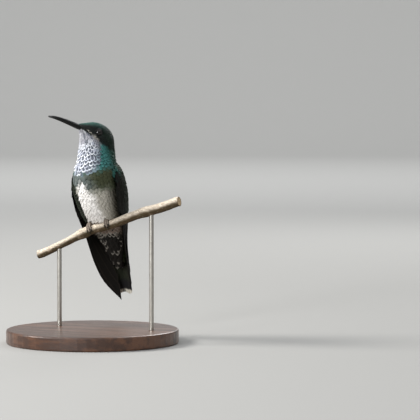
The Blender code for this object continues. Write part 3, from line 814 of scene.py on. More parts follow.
WIDEST = 0.62  # where along its length a feather is widest
GRID = (161, 121)  # stations along and across the surface that scatter weighs by its area
RUFFLE = 0.05  # how far a feather may turn from its lie at random, in radians
DEEPEST = 4  # millimetres: no place that is tested lies deeper inside a solid
FEATHER_LENGTH, FEATHER_WIDTH = 2.1, 1.42  # a body feather's, as shares of the gap between feathers

# The random numbers' seeds, so that every run lays the same feathers
BODY_SEED, TAIL_SEED, FLANK_SEED = 7, 41, 51
QUILL_SEED = {"left": 21, "right": 22}
COVERT_SEED = {"left": 31, "right": 32}


def feather_outline(share):
    """A feather's half width at a share of its length: narrow at the root, with a round tip."""
    share = np.asarray(share, float)
    root = np.interp(share, (0, 0.25, 0.5, WIDEST), (0.42, 0.82, 0.98, 1.0))
    tip = np.sqrt(np.clip(1 - ((share - WIDEST) / (1.005 - WIDEST)) ** 2, 0, 1))
    return np.where(share > WIDEST, tip, root)


def feather_mesh(name, columns, stations):
    """One feather of unit size along +Y: an arched closed vane, whose underside meets in a line along it."""
    share = np.array(stations, float)[:, None]
    side = np.append(np.linspace(-1, 1, columns + 1), 0.0)
    depth = np.append(np.zeros(columns + 1), 0.35)  # the last column is the underside's line
    height = (1 - side**2) * (0.4 + 0.6 * share) - depth
    places = together(side * feather_outline(share) / 2, share - 0.05 * side**2 * share**4, height)
    numbers = np.arange(height.size).reshape(height.shape)
    top, line = numbers[:, :-1], numbers[:, -1:]
    root, tip = np.repeat(line[0], columns + 1), np.repeat(line[-1], columns + 1)
    faces = sheet(top) + sheet(np.hstack([top[:, -1:], line, top[:, :1]]))
    faces += sheet(np.stack([root, top[0]])) + sheet(np.stack([top[-1], tip]))
    mesh = bpy.data.meshes.new(name)
    mesh.from_pydata(places.reshape(-1, 3).tolist(), [], faces)
    add_values(mesh, "across", "FLOAT", "POINT", side + 0 * share)
    add_values(mesh, "along", "FLOAT", "POINT", share + 0 * side)
    mesh.shade_smooth()
    mesh.set_sharp_from_angle(angle=math.radians(75))
    return mesh


def feather_tree():
    """Geometry Nodes that lay one feather on each root, bend it to the surface and give it its maps."""
    tree = bpy.data.node_groups.new("lay_feathers", "GeometryNodeTree")
    sockets = {"Roots": "Geometry", "Feather": "Object", "Finish": "Material",
               "Ruffle": "Float", "Patch": "Float", "Seed": "Int"}
    for name, kind in sockets.items():
        tree.interface.new_socket(name, in_out="INPUT", socket_type=f"NodeSocket{kind}")
    tree.interface.new_socket("Coat", in_out="OUTPUT", socket_type="NodeSocketGeometry")
    nodes = Nodes(tree)
    given = tree.nodes.new("NodeGroupInput")
    roots, feather, finish, ruffle, patch, seed = (Socket(nodes, given.outputs[name]) for name in sockets)

    def named(name, kind="FLOAT_VECTOR"):
        return nodes.add("GeometryNodeInputNamedAttribute", {"data_type": kind}, {"Name": name})

    def stored(coat, name, kind, domain, value):
        return nodes.add("GeometryNodeStoreNamedAttribute", {"data_type": kind, "domain": domain},
                         {"Geometry": coat, "Name": name, "Value": value})

    turn = nodes.add("FunctionNodeAxesToRotation", {"primary_axis": "Z", "secondary_axis": "Y"},
                     {0: named("out"), 1: named("lie")})
    swing = nodes.add("FunctionNodeRandomValue", {"data_type": "FLOAT"}, {2: -1.0, 3: 1.0, "Seed": seed}, 1)
    swung = nodes.add("FunctionNodeAxisAngleToRotation", (), {"Axis": (0, 0, 1), "Angle": swing * ruffle})
    turn = nodes.add("FunctionNodeRotateRotation", {"rotation_space": "LOCAL"}, {0: turn, 1: swung})
    shape = nodes.add("GeometryNodeObjectInfo", (), {"Object": feather}, 4)
    laid = nodes.add("GeometryNodeInstanceOnPoints", (),
                     {"Points": roots, "Instance": shape, "Rotation": turn, "Scale": named("size")})
    coat = nodes.add("GeometryNodeRealizeInstances", (), {0: laid})
    across, along = named("across", "FLOAT"), named("along", "FLOAT")
    lift, droop, slope = nodes.split(named("bend"))
    rise = lift * along + droop * along * along + slope * across * across
    offset = nodes.vectors("SCALE", {0: named("out"), 3: rise})
    coat = nodes.add("GeometryNodeSetPosition", (), {"Geometry": coat, "Offset": offset})
    within = nodes.join(across * patch * 0.5, (along - 0.5) * patch, 0.0)
    coat = stored(coat, "OFBake", "FLOAT2", "CORNER", nodes.vectors("ADD", {0: named("map"), 1: within}))
    coat = stored(coat, "vane", "FLOAT_VECTOR", "POINT", nodes.join(across, along, 0.0))
    coat = nodes.add("GeometryNodeSetMaterial", (), {"Geometry": coat, "Material": finish})
    tree.links.new(coat.socket, tree.nodes.new("NodeGroupOutput").inputs[0])
    return tree


def spread_apart(place, spacing, u, v, u_range, v_range):
    """Moves neighbours a little away from each other, eight times over."""
    for _ in range(8):
        points, reach = place(u, v), spacing(u, v) * 1.1
        apart = points[:, None] - points[None]
        distance = np.sqrt((apart**2).sum(-1)) + 1e-9
        push = np.clip(1 - distance / reach[:, None], 0, 1)
        np.fill_diagonal(push, 0)
        move = (apart * (push / distance)[..., None]).sum(1) * (reach * 0.35)[:, None]
        along, across = slopes(place, u, v)
        u = np.clip(u + (move * along).sum(1) / (along**2).sum(1), *u_range)
        v = np.clip(v + (move * across).sum(1) / (across**2).sum(1), *v_range)
    return u, v


def scatter(place, spacing, u_range, v_range, seed):
    """Evenly packed places (u, v) on a surface, about spacing(u, v) apart, the same on every run."""
    rng = np.random.default_rng(seed)
    stations = [np.linspace(*span, count) for span, count in zip((u_range, v_range), GRID)]
    grid_u, grid_v = np.meshgrid(*stations, indexing="ij")
    area = np.linalg.norm(np.cross(*slopes(place, grid_u, grid_v)), axis=-1)
    wanted = (area / spacing(grid_u, grid_v) ** 2).ravel()
    cell_u = (u_range[1] - u_range[0]) / (GRID[0] - 1)
    cell_v = (v_range[1] - v_range[0]) / (GRID[1] - 1)
    count = int(wanted.sum() * cell_u * cell_v * 9)
    picked = rng.choice(len(wanted), count, p=wanted / wanted.sum())
    u = np.clip(grid_u.ravel()[picked] + (rng.random(count) - 0.5) * cell_u, *u_range)
    v = np.clip(grid_v.ravel()[picked] + (rng.random(count) - 0.5) * cell_v, *v_range)
    points, reach = place(u, v), spacing(u, v) * 0.86
    chosen, held = [], np.empty((count, 3))
    for i in range(count):
        number = len(chosen)
        if not (((held[:number] - points[i]) ** 2).sum(1) < reach[i] ** 2).any():
            held[number] = points[i]
            chosen.append(i)
    u, v = spread_apart(place, spacing, u[chosen], v[chosen], u_range, v_range)
    return u, v, rng


def lay_coat(name, roots, feather, finish, seed):
    """A coat of feathers, as one plain mesh.

    roots holds each feather's place, lie, outward way, size, bend, place on the bake map and spot.
    """
    values = {label: unit(roots[label]) * TO_FRAME for label in ("lie", "out")}
    values |= {label: roots[label] * MM for label in ("size", "bend")}
    values |= {label: roots[label] for label in ("map", "spot")}
    guide = new_object(name + "_roots", mesh_from(name, roots["place"], [], values))
    layer = guide.modifiers.new("feathers", "NODES")
    layer.node_group = FEATHER_TREE
    inputs = {"Feather": feather, "Finish": finish, "Ruffle": RUFFLE, "Patch": PATCH, "Seed": seed}
    for item in FEATHER_TREE.interface.items_tree:
        if item.name in inputs:
            layer[item.identifier] = inputs[item.name]
    bpy.context.view_layer.update()
    mesh = bpy.data.meshes.new_from_object(guide.evaluated_get(bpy.context.evaluated_depsgraph_get()))
    bpy.data.objects.remove(guide)
    return mesh


def roots_on(place, out, u, v, long, wide, lift, yaw):
    """Where feathers of a size stand on a surface and how each bends to lie along it."""
    along, across = slopes(place, u, v)
    normal = out(u, v)
    run = unit(along - dots(along, normal) * normal)
    side = unit(np.cross(normal, run))
    lie = run * np.cos(yaw)[:, None] + side * np.sin(yaw)[:, None]
    end_u = u + (lie * along).sum(1) / (along**2).sum(1) * long
    end_v = v + (lie * across).sum(1) / (across**2).sum(1) * long
    root, tip = place(u, v), place(end_u, end_v)
    droop = dots(tip - root, normal)
    half = wide / 2 / np.linalg.norm(across, axis=1)
    slope = dots((place(u, v + half) + place(u, v - half)) / 2 - root, normal)
    raised = normal * lift[:, None]
    return {"place": root, "lie": lie, "out": normal, "size": together(wide, long, wide * 0.16),
            "bend": together(lift, droop[:, 0], slope[:, 0]), "end": together(end_u, end_v),
            "middle": (root + tip) / 2 - normal * droop / 4 + raised / 2, "tip": tip + raised}


def kept(roots, mask):
    return {label: values[mask] for label, values in roots.items()}


class Solids:
    """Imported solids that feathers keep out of."""

    def __init__(self, *names):
        self.trees = [self.tree(frame["nodes"][name].data) for name in names]

    def tree(self, mesh):
        form = bmesh.new()
        form.from_mesh(mesh)
        bmesh.ops.remove_doubles(form, verts=form.verts, dist=1e-7)
        tree = BVHTree.FromBMesh(form)
        form.free()
        return tree

    def hold(self, places, clearance):
        """Which places lie inside a solid, or nearer to one than clearance, in millimetres."""
        held = np.zeros(len(places), bool)
        for i, place in enumerate(world(places) * MM):
            for tree in self.trees:
                distance = tree.find_nearest(place)[3]
                near = distance < DEEPEST * MM
                held[i] |= distance < clearance * MM or (near and self.inside(tree, Vector(place)))
        return held

    def inside(self, tree, place):
        """Whether a ray from the place leaves through an odd number of faces."""
        aim = Vector((0.31, 0.83, 0.47)).normalized()
        crossed = 0
        hit = tree.ray_cast(place, aim)[0]
        while hit is not None:
            crossed += 1
            hit = tree.ray_cast(hit + aim * 1e-6, aim)[0]
        return crossed % 2 == 1


# ---------------------------------------------------------------- the body

EYES = {side: bird_place(np.mean(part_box(f"eye_{side}"), 0) / MM) for side in SIDES}
EYE_RADIUS = (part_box("eye_left")[1][2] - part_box("eye_left")[0][2]) / 2 / MM

# How far apart the body's feathers stand, on the back's side and on the belly's, at stations along it
SPACING_STATIONS = (0, 1, 2, 3, 4, 5, 6, 7, 8, 9.2, 10, 12, 14, 15, 16, 17)
BACK_SPACING = (0.38, 0.44, 0.50, 0.56, 0.64, 0.74, 0.88, 1.05, 1.2, 1.35, 1.45, 1.6, 1.75, 1.9, 2.1, 2.2)
BELLY_SPACING = (0.46, 0.62, 0.86, 1.08, 1.3, 1.5, 1.68, 1.8, 1.85, 1.6, 1.4, 1.3, 1.6, 2.3, 2.6, 2.6)

# The eyelids' section: degrees from the eye's axis, and millimetres over the eyeball
LID_PROFILE = (
    (86, 0.03), (76, 0.07), (66, 0.12), (58, 0.17), (53, 0.18),
    (49.5, 0.16), (47, 0.11), (46, 0.05), (46.5, 0.0),
)
LID_POINTS, LID_CREASES = 48, 17
SKIN_STATIONS, SKIN_SIDES = 181, 84
CORNEA_EDGE, CORNEA_RISE = 0.86, 0.5  # where it begins, as a share of the eye's radius along its axis
EYE_CLEAR = 0.2  # how far from the eyeball the feathers end

# How far the skin and the feathers keep off the branch
SKIN_CLEAR, FEATHER_CLEAR = 0.25, 0.12


def body_map(t, around):
    """The skin's unwrap: round it one way, along it the other."""
    return together(0.5 + half_turns(around) / 2 * SKIN_MAP_WIDTH, 0.045 + 0.945 * t / BODY_END, 0.0)


def body_spot(t, around, tone):
    return together(half_turns(around), t / BODY_END, tone)


def half_turns(around):
    """An angle round the body as a share of half a turn, from -1 to 1."""
    return ((around + math.pi) % FULL_TURN - math.pi) / math.pi


def feather_spacing(t, around):
    back, belly = (np.interp(t, SPACING_STATIONS, row) for row in (BACK_SPACING, BELLY_SPACING))
    return back + (belly - back) * smooth(np.cos(around), 0.1, 0.6)


def body_yaw(t, around, rng):
    """How far each feather turns from the body's own lie: a little at random, and round the eyes."""
    yaw = rng.normal(0, 0.06, len(t))
    places = outer_place(t, around)
    along = unit(slopes(outer_place, t, around)[0])
    across = unit(np.cross(outwards(t, around), along))
    for eye in EYES.values():
        away = places - eye
        near = 1 - smooth(np.linalg.norm(away, axis=1), EYE_RADIUS + EYE_CLEAR, EYE_RADIUS + 2.0)
        ahead = (away * along).sum(1) < 0.4
        yaw += np.where(ahead, np.sign((away * across).sum(1)) * near * 0.9, 0)
    return yaw


def body_coats(finish):
    """The contour feathers of head, neck, trunk and tail coverts, in one coat for each length of the body."""
    u, v, rng = scatter(outer_place, feather_spacing, (0.1, BODY_END - 0.9), (-math.pi, math.pi), BODY_SEED)
    gap = feather_spacing(u, v)
    fluffy = smooth(u, 9.5, 11) * (1 - smooth(u, 14.3, 15))
    stretch = FEATHER_LENGTH + 0.35 * fluffy + 0.4 * smooth(u, 14.3, 15.5)
    long = gap * stretch * (1 + rng.normal(0, 0.06, len(u)))
    wide = gap * (FEATHER_WIDTH - 0.12 * fluffy) * (1 + rng.normal(0, 0.04, len(u)))
    end = np.clip(u + long / np.linalg.norm(slopes(outer_place, u, v)[0], axis=1), 0, BODY_END)
    lift = coat_depth(end) * (0.86 + rng.normal(0, 0.06, len(u))) + fluffy * rng.random(len(u)) * 0.1
    roots = roots_on(skin_place, outwards, u, v, long, wide, lift, body_yaw(u, v, rng))
    end_t, end_around = roots["end"].T
    roots["t"] = u
    roots["map"] = body_map(u, v)
    roots["spot"] = body_spot(np.clip(end_t, 0, BODY_END), end_around, rng.uniform(-1, 1, len(u)))
    near_eye = [np.linalg.norm(roots[part] - eye, axis=1) < EYE_RADIUS + EYE_CLEAR
                for eye in EYES.values() for part in ("place", "middle", "tip")]
    roots = kept(roots, ~np.any(near_eye, 0))
    wings = Solids(*(f"wing_{side}_{part}" for side in SIDES for part in ("coverts", "primaries")))
    feet = Solids("foot_left", "foot_right")
    hidden = wings.hold(roots["middle"], 0.0) & wings.hold(roots["tip"], 0.0)
    hidden |= feet.hold(roots["tip"], 0.1) | feet.hold(roots["middle"], 0.05)
    roots = kept(roots, ~hidden)
    coats = (  # name, first and last station, the feather, and what its finish is part of
        ("face", 0, 4.2, SMALL_FEATHER, "crown_feathers"),
        ("crown", 4.2, 6.5, FEATHER, "crown_feathers"),
        ("throat", 6.5, 9.4, FEATHER, "neck_feathers"),
        ("breast", 9.4, 14.4, FEATHER, "belly_feathers"),
        ("tail_covert", 14.4, BODY_END, FEATHER, "undertail_feathers"),
    )
    for seed, (name, start, stop, feather, slot) in enumerate(coats):
        part = kept(roots, (roots["t"] >= start) & (roots["t"] < stop))
        mesh = lay_coat(name, part, feather, finish, seed)
        keep_off_perch(mesh, FEATHER_CLEAR)
        place_piece(f"{name}_feathers", mesh, slot)


def keep_off_perch(mesh, space):
    """Bends what would run into the branch round it."""
    places = np.empty(len(mesh.vertices) * 3, np.float32)
    mesh.vertices.foreach_get("co", places)
    clear = clear_of_perch(bird_place(places.reshape(-1, 3).astype(float) / MM), space)
    mesh.vertices.foreach_set("co", np.ascontiguousarray(world(clear) * MM, np.float32).ravel())
    mesh.update()


def eye_axis(side):
    """The way an eye looks: sideways out of the turned head, and a little ahead and up."""
    left, ahead = facing(HEAD_TURN)
    return unit(SIGN[side] * left + 0.10 * ahead + 0.02 * UP)


def lids(side):
    """The eyelids of one eye: a closed ring from under the feathers, over a soft rim, onto the eyeball."""
    axis = eye_axis(side)
    ahead = facing(HEAD_TURN)[1]
    ahead = unit(ahead - axis * (ahead @ axis))
    up = np.cross(ahead, axis) * SIGN[side]
    angles, rises = np.array(LID_PROFILE).T[..., None]
    turned = np.linspace(0, FULL_TURN, LID_POINTS, endpoint=False)
    along, above = np.cos(turned), np.sin(turned)
    corner = (0.07 * abs(along) ** 3 - 0.10 * above**2) * np.where(angles < 60, 1.0, 0.4)
    open_by = (np.radians(angles) * (1 + corner))[..., None]
    reach = EYE_RADIUS + rises * (1 + 0.10 * np.sin(turned * LID_CREASES + angles) * (angles > 50))
    aside = along[:, None] * ahead + above[:, None] * up
    rings = EYES[side] + reach[..., None] * (np.cos(open_by) * axis + np.sin(open_by) * aside)
    rows = len(rings)
    numbers = np.pad(np.arange(rows * LID_POINTS).reshape(rows, LID_POINTS), (0, 1), "wrap")
    round_it, over = np.meshgrid(np.linspace(0, 0.4, LID_POINTS + 1), np.linspace(0.005, 0.035, rows + 1))
    bake_map = corners(together(round_it + 0.01 + 0.5 * SIDES.index(side), over))
    mesh = mesh_from("lids", rings, sheet(numbers), bake_map=bake_map)
    face_outwards(mesh)
    mesh.polygons.foreach_set("material_index", [1] * len(mesh.polygons))
    return mesh


def skin(finish, lid_skin):
    """One skin from the bill's base to the tail, hollowed round the branch, with the eyelids in it."""
    turned = np.linspace(-math.pi, math.pi, SKIN_SIDES, endpoint=False)
    around, t = np.meshgrid(turned, np.linspace(0, BODY_END, SKIN_STATIONS))
    places = clear_of_perch(skin_place(t, around), SKIN_CLEAR)
    values = {"spot": body_spot(t, around, 0.0), "vane": np.tile((0.0, 0.3, 0.0), (t.size, 1))}
    bake_map = tube_map(body_map(t, around)[..., :2], SKIN_MAP_WIDTH)
    mesh = mesh_from("body", places, tube_faces(SKIN_STATIONS, SKIN_SIDES), values, finish, bake_map)
    mesh.materials.append(lid_skin)
    face_outwards(mesh)
    whole = joined("skin", [mesh, *(lids(side) for side in SIDES)])
    place_piece("skin", whole, "belly_feathers", "head", "neck", "trunk", "tail_coverts")


def eyeballs():
    for side in SIDES:
        centre, axis = world(EYES[side]), eye_axis(side) * TO_FRAME
        turn = Vector(UP).rotation_difference(Vector(axis))
        form = bmesh.new()
        bmesh.ops.create_uvsphere(form, u_segments=40, v_segments=28, radius=EYE_RADIUS * MM)
        for vertex in form.verts:
            cornea = 1 + max(0.0, vertex.co.normalized().z - CORNEA_EDGE) * CORNEA_RISE
            vertex.co = turn @ (vertex.co * cornea) + Vector(centre) * MM
        mesh = bpy.data.meshes.new(f"eyeball_{side}")
        form.to_mesh(mesh)
        form.free()
        mesh.shade_smooth()
        mesh.materials.append(eye_finish(tuple(centre), tuple(axis)))
        place_piece(f"eyeball_{side}", mesh, "eye", f"eye_{side}")


# ---------------------------------------------------------------- bill

BILL_STATIONS, BILL_POINTS = 60, 17


def bill(finish):
    """Both halves, a little down-curved: the upper ridged and grooved, the lower tapering sooner."""
    last = len(BILL) - 1
    angles = np.linspace(0, math.pi, BILL_POINTS)
    from_ridge = abs(angles - math.pi / 2)
    ridge = 0.90 * (1 + 0.10 * np.exp(-((from_ridge / 0.30) ** 2)))
    groove = 0.16 * np.exp(-(((from_ridge - 0.75) / 0.22) ** 2))
    for name, sign, share in (("upper", 1, 0.56), ("lower", -1, 0.44)):
        rings = []
        for t in np.linspace(-0.45, last, BILL_STATIONS):
            shown, sunk = max(t, 0), min(t, 0)
            forward, up, depth, width = spline(BILL, shown)[0] + (3.4 * sunk, 1.1 * sunk, 0, 0)
            behind, beyond = spline(BILL, [max(shown - 0.1, 0), min(shown + 0.1, last)])
            ahead, rise = unit(beyond[:2] - behind[:2])
            lobe = np.sin(angles)
            if sign > 0:
                lobe = lobe * ridge * (1 - groove * (1 - smooth(t, 0.5, 1.6)))
            else:
                taper = 1 - 0.25 * smooth(t, 4.7, 5)
                depth, width = depth * taper, width * taper
            height = sign * (BILL_GAPE / 2 + (depth * share - BILL_GAPE / 2) * lobe)
            rings.append(head_place(forward - rise * height, width / 2 * np.cos(angles), up + ahead * height))
        place_piece(f"bill_{name}_horn", capped_tube(name, rings, finish), "horn", f"bill_{name}")


# ---------------------------------------------------------------- wings and tail

QUILL_THICKNESS, QUILL_ARCH, SHAFT_RISE = 0.13, 0.10, 0.07
QUILL_SIDES = np.array((-1, -0.6, -0.25, -0.07, 0, 0.07, 0.25, 0.6, 1.0))
ROOT_STEP, QUILL_OVERLAP = 0.75, 1.9  # from one quill's root to the next, and over the next quill
ARM_STATIONS, ARM_POINTS, ARM_END = 30, 14, 0.62  # its end as a share of the wing's length
COVERT_SHARES = (0.0, 0.37)  # of the wing's length
COVERT_REACHES = (-0.22, 0.98)  # below 0 they wrap round the leading edge
FLANK_SPACING = 1.15
FLANK_START, FLANK_STOP = 9.3, 12.7  # stations along the body
FLANK_BACK, FLANK_FRONT = -66, -26  # degrees from the belly's middle
TAIL_INSIDE = 7.0  # how far its feathers reach in under the tail coverts
RECTRIX_WIDTH = 0.56  # as a share of the tail's half width


def wing_rows(side, share):
    """A folded wing's leading and trailing edge, bulge, thickness and outward way at shares of its length."""
    rows = np.array([[*lead, *trail, bulge, thick] for lead, trail, bulge, thick in WING[side]])
    last = len(rows) - 1
    at = np.clip(share, 0, 1) * last
    row = spline(rows, at)
    ahead = np.minimum(at + 0.05, last)
    run = spline(rows[:, :3], ahead) - spline(rows[:, :3], ahead - 0.1)
    lead, trail = row[:, :3], row[:, 3:6]
    return lead, trail, row[:, 6], row[:, 7], unit(np.cross(trail - lead, run)) * SIGN[side]


def wing_place(side, share, reach, rise=0.0):
    """A place over a folded wing's middle surface, at a share of its length and a reach across it."""
    share, reach, rise = np.broadcast_arrays(share, reach, rise)
    lead, trail, bulge, _, out = wing_rows(side, share.ravel())
    reach, rise = reach.reshape(-1, 1), rise.reshape(-1, 1)
    height = 4 * reach * (1 - reach) * bulge[:, None] + rise
    return (lead + reach * (trail - lead) + height * out).reshape(share.shape + (3,))


def wing_half(side, share, reach):
    """Half the wing's thickness."""
    share, reach = np.broadcast_arrays(share, reach)
    thick = wing_rows(side, share.ravel())[3].reshape(share.shape)
    bevel = np.minimum(1, 0.3 + reach / 0.25) * (1 - 0.8 * reach)
    return WING_THINNEST / 2 + (thick - WING_THINNEST) / 2 * bevel


def chord(side, share):
    """The distance from the wing's leading to its trailing edge."""
    lead, trail, *_ = wing_rows(side, np.atleast_1d(share))
    return np.linalg.norm(trail - lead, axis=1)[0]


def quill(edges, place, start, stop, shaft, tip_round, lane, spot, finish):
    """One long feather as a closed vane.

    edges gives its sides at a share of the surface it lies on, and place a point there from the share, its
    distance across and its height, all in millimetres, and how far across the feather it lies. shaft is the
    share of the width in front of the shaft, tip_round the share of the length that is rounded off, lane the
    feather's number and how many there are, and spot its values for the finish.
    """
    sides = QUILL_SIDES
    to_tip = 1 - 0.12 * np.cos(np.linspace(0, 1, 12) * math.pi / 2)
    shares = np.concatenate([np.linspace(0, 0.88, 22, endpoint=False), to_tip])
    past = np.maximum(shares - (1 - tip_round), 0) / tip_round
    narrowed = np.maximum(np.sqrt(np.maximum(1 - past**2, 0)), 0.05)
    arch = QUILL_ARCH * (1 - sides**2)
    hollow = arch - QUILL_THICKNESS * (1 - abs(sides) ** 3)
    top, low = [], []
    for q, rounding in zip(shares, narrowed):
        share = start + (stop - start) * q
        first, last = edges(share)
        middle = first + (last - first) * shaft
        across = middle + np.where(sides < 0, sides * (middle - first), sides * (last - middle)) * rounding
        leaning = (across - first) / max(last - first, 0.3)
        top.append(place(share, across, arch + SHAFT_RISE * (1 - 0.8 * q) * (sides == 0), leaning))
        low.append(place(share, across, hollow, leaning)[1:-1])
    rows, columns = len(top), len(sides)
    over = np.arange(rows * columns).reshape(rows, columns)
    under = over.copy()
    under[:, 1:-1] = over.size + np.arange(rows * (columns - 2)).reshape(rows, -1)
    faces = sheet(over) + sheet(under)
    for row in (0, -1):
        faces += sheet(np.stack([over[row], under[row]]))

    def both(of_rows, of_columns):
        """Values for the top's points and then the underside's."""
        whole = of_rows[:, None] + of_columns
        return np.concatenate([whole.ravel(), whole[:, 1:-1].ravel()])

    across, along = both(0 * shares, sides), both(shares, 0 * sides)
    steps = np.linalg.norm(np.diff(np.array(top)[:, columns // 2], axis=0), axis=1)
    run = both(np.append(0, np.cumsum(steps)), 0 * sides)
    below = np.arange(len(along)) >= over.size
    patch = together((lane[0] + 0.04 + 0.42 * (across + 1) / 2 + 0.46 * below) / lane[1], along)
    mesh = mesh_from("quill", np.concatenate([*top, *low]), faces,
                     {"vane": together(across, along, run), "spot": np.tile(spot, (len(along), 1))},
                     finish, patch[np.concatenate(faces)])
    face_outwards(mesh, 70)
    return mesh


def quill_tip(number):
    """The share of the wing's length that a quill reaches, counted from the outermost."""
    if number < PRIMARIES:
        return LONGEST_TIP - TIP_STEP * number
    return 0.44 - 0.035 * (number - PRIMARIES)


def quill_start(number):
    return 0.14 - 0.009 * number


def wing_quills(side, finish):
    """Ten primaries that fan from the hand to their stepped tips, and six short secondaries over them."""
    rng = np.random.default_rng(QUILL_SEED[side])
    total = PRIMARIES + SECONDARIES

    def front(number, share):
        """How far behind the wing's leading edge a quill's own front edge lies."""
        tip, start = quill_tip(number), quill_start(number)
        reach = np.clip((share - start) / (tip - start), 0, 1)
        from_root = min(ROOT_STEP * number, chord(side, start) - 2.2)
        at_tip = max(0.0, chord(side, tip) - (1.5 if number < PRIMARIES else 2.6)) * (number > 0)
        return from_root + (at_tip - from_root) * reach**1.6

    def edges(number, share):
        whole = chord(side, share)
        first, last = min(front(number, share), whole - 0.3), whole
        if number + 1 < total and share < quill_tip(number + 1):
            last = min(whole, front(number + 1, share) + QUILL_OVERLAP)
        return first, max(last, first + 0.3)

    def place(share, across, height, leaning):
        reach = np.clip(across / chord(side, share), 0.0, 1.0)
        half = wing_half(side, share, reach)
        far = float(smooth(share, 0.6, 0.9))
        tuck = 0.5 * (1 - far) + np.maximum(2 * half - 0.36, 0.2) * far
        inward = 0.8 * leaning * float(smooth(share, 0.5, 0.7)) * (side == "left")
        middle = np.maximum(half - 0.20 - tuck * leaning, 0.16 - half) - inward
        return wing_place(side, share, reach, middle + height)

    feathers = []
    for number in range(total):
        shaft = 0.3 if number < 6 else 0.4
        tip_round = 0.07 if number < PRIMARIES else 0.2
        spot = (1 - number / total, 0, rng.uniform(-1, 1))
        feathers.append(quill(functools.partial(edges, number), place, quill_start(number), quill_tip(number),
                              shaft, tip_round, (number, total), spot, finish))
    place_piece(f"wing_{side}_quills", joined("quills", feathers), "wing_feathers", f"wing_{side}_primaries")


def wing_arm(side, finish):
    """The flesh of the folded arm and hand, inside the wing's feathers."""
    over = np.linspace(0, 1, ARM_POINTS)
    round_it = np.concatenate([over, over[::-1]])
    sign = np.repeat((1.0, -1.0), ARM_POINTS)
    rounding = np.maximum(np.sqrt(np.sin(round_it * math.pi)), 0.05)
    rings = []
    for share in np.linspace(0.0, ARM_END, ARM_STATIONS):
        reach = 0.03 + 0.92 * (1 - smooth(share, 0.3, ARM_END) * 0.9) * round_it
        half = np.maximum(wing_half(side, share, reach) - np.where(sign > 0, 0.75, 0.35), 0.08)
        rings.append(wing_place(side, share, reach, sign * half * rounding - 0.1))
    around, along = tube_run(ARM_STATIONS, 2 * ARM_POINTS)
    values = {"vane": together(0.5, along * 0.5, along * 30), "spot": together(1 - along, 0.0, 0.0)}
    mesh = capped_tube("arm", rings, finish, values, tube_map(together(around, along), 1.0))
    place_piece(f"wing_{side}_arm", mesh, "wing_feathers")


def wing_coverts(side, finish):
    """Scale-like coverts over the arm, larger towards the quills, wrapping round the leading edge."""
    def spacing(share, reach):
        return np.interp(share, (0, 0.08, 0.2, 0.36), (0.95, 1.15, 1.5, 2.0)) + 0 * reach

    def over(share, reach):
        folded = np.clip(reach, 0, 1)
        under = np.minimum(reach, 0)
        base = wing_place(side, share, folded - under * 0.9, wing_half(side, share, folded) - 0.55)
        inner = wing_place(side, share, -under * 0.9, 0.30 - wing_half(side, share, -under))
        wrap = smooth(-under, 0.0, 0.10)[..., None]
        return base * (1 - wrap) + inner * wrap

    def out(share, reach):
        return unit(np.cross(*slopes(over, share, reach))) * -SIGN[side]

    u, v, rng = scatter(over, spacing, COVERT_SHARES, COVERT_REACHES, COVERT_SEED[side])
    gap = spacing(u, v)
    long = gap * 2.2 * (1 + 0.5 * smooth(u, 0.26, 0.34)) * (1 + rng.normal(0, 0.05, len(u)))
    lift = (0.42 + rng.random(len(u)) * 0.1) * (0.4 + 0.6 * smooth(v, -0.05, 0.3))
    roots = roots_on(over, out, u, v, long, gap * 1.45, lift, rng.normal(0, 0.05, len(u)) - 0.10)
    roots["map"] = together(0.1 + 0.74 * (v - COVERT_REACHES[0]), 0.02 + u * 2.5, 0.0)
    roots["spot"] = together(u + long / 64, np.clip(v, 0, 1), rng.uniform(-1, 1, len(u)))
    mesh = lay_coat(f"wing_{side}_covert_feathers", roots, FEATHER, finish, 3)
    if side == "right":
        mesh = joined("coverts", [mesh, flank_edge(finish)])
    place_piece(f"wing_{side}_covert_feathers", mesh, "wing_feathers", f"wing_{side}_coverts")


def flank_edge(finish):
    """The right wing's foremost coverts, which lie over the flank."""
    u, v, rng = scatter(outer_place, lambda t, around: FLANK_SPACING + 0 * t, (FLANK_START, FLANK_STOP),
                        (math.radians(FLANK_BACK), math.radians(FLANK_FRONT)), FLANK_SEED)
    front = np.interp(u, (9.3, 9.8, 10.5, 11.8, 12.7), (-58, -43, -32, -28, -38))
    behind = np.degrees(v) < front
    u, v = u[behind], v[behind]
    long = FLANK_SPACING * 2.5 * (1 + rng.normal(0, 0.05, len(u)))
    wide = np.full(len(u), FLANK_SPACING * 1.45)
    lift = 0.5 + 0.5 * smooth(-np.degrees(v), 28, 60)
    roots = roots_on(outer_place, outwards, u, v, long, wide, lift, rng.normal(0, 0.05, len(u)))
    roots["place"] = roots["place"] - roots["out"] * 0.2
    forward = (np.degrees(v) - FLANK_BACK) / (FLANK_FRONT - FLANK_BACK)
    down = (u - FLANK_START) / (FLANK_STOP - FLANK_START)
    roots["map"] = together(0.1 + 0.2 * forward, 0.955 + 0.04 * down, 0.0)
    roots["spot"] = together(0.18 + (u - FLANK_START) * 0.03, 0.3, rng.uniform(-1, 1, len(u)))
    return lay_coat("flank_edge", roots, FEATHER, finish, 4)


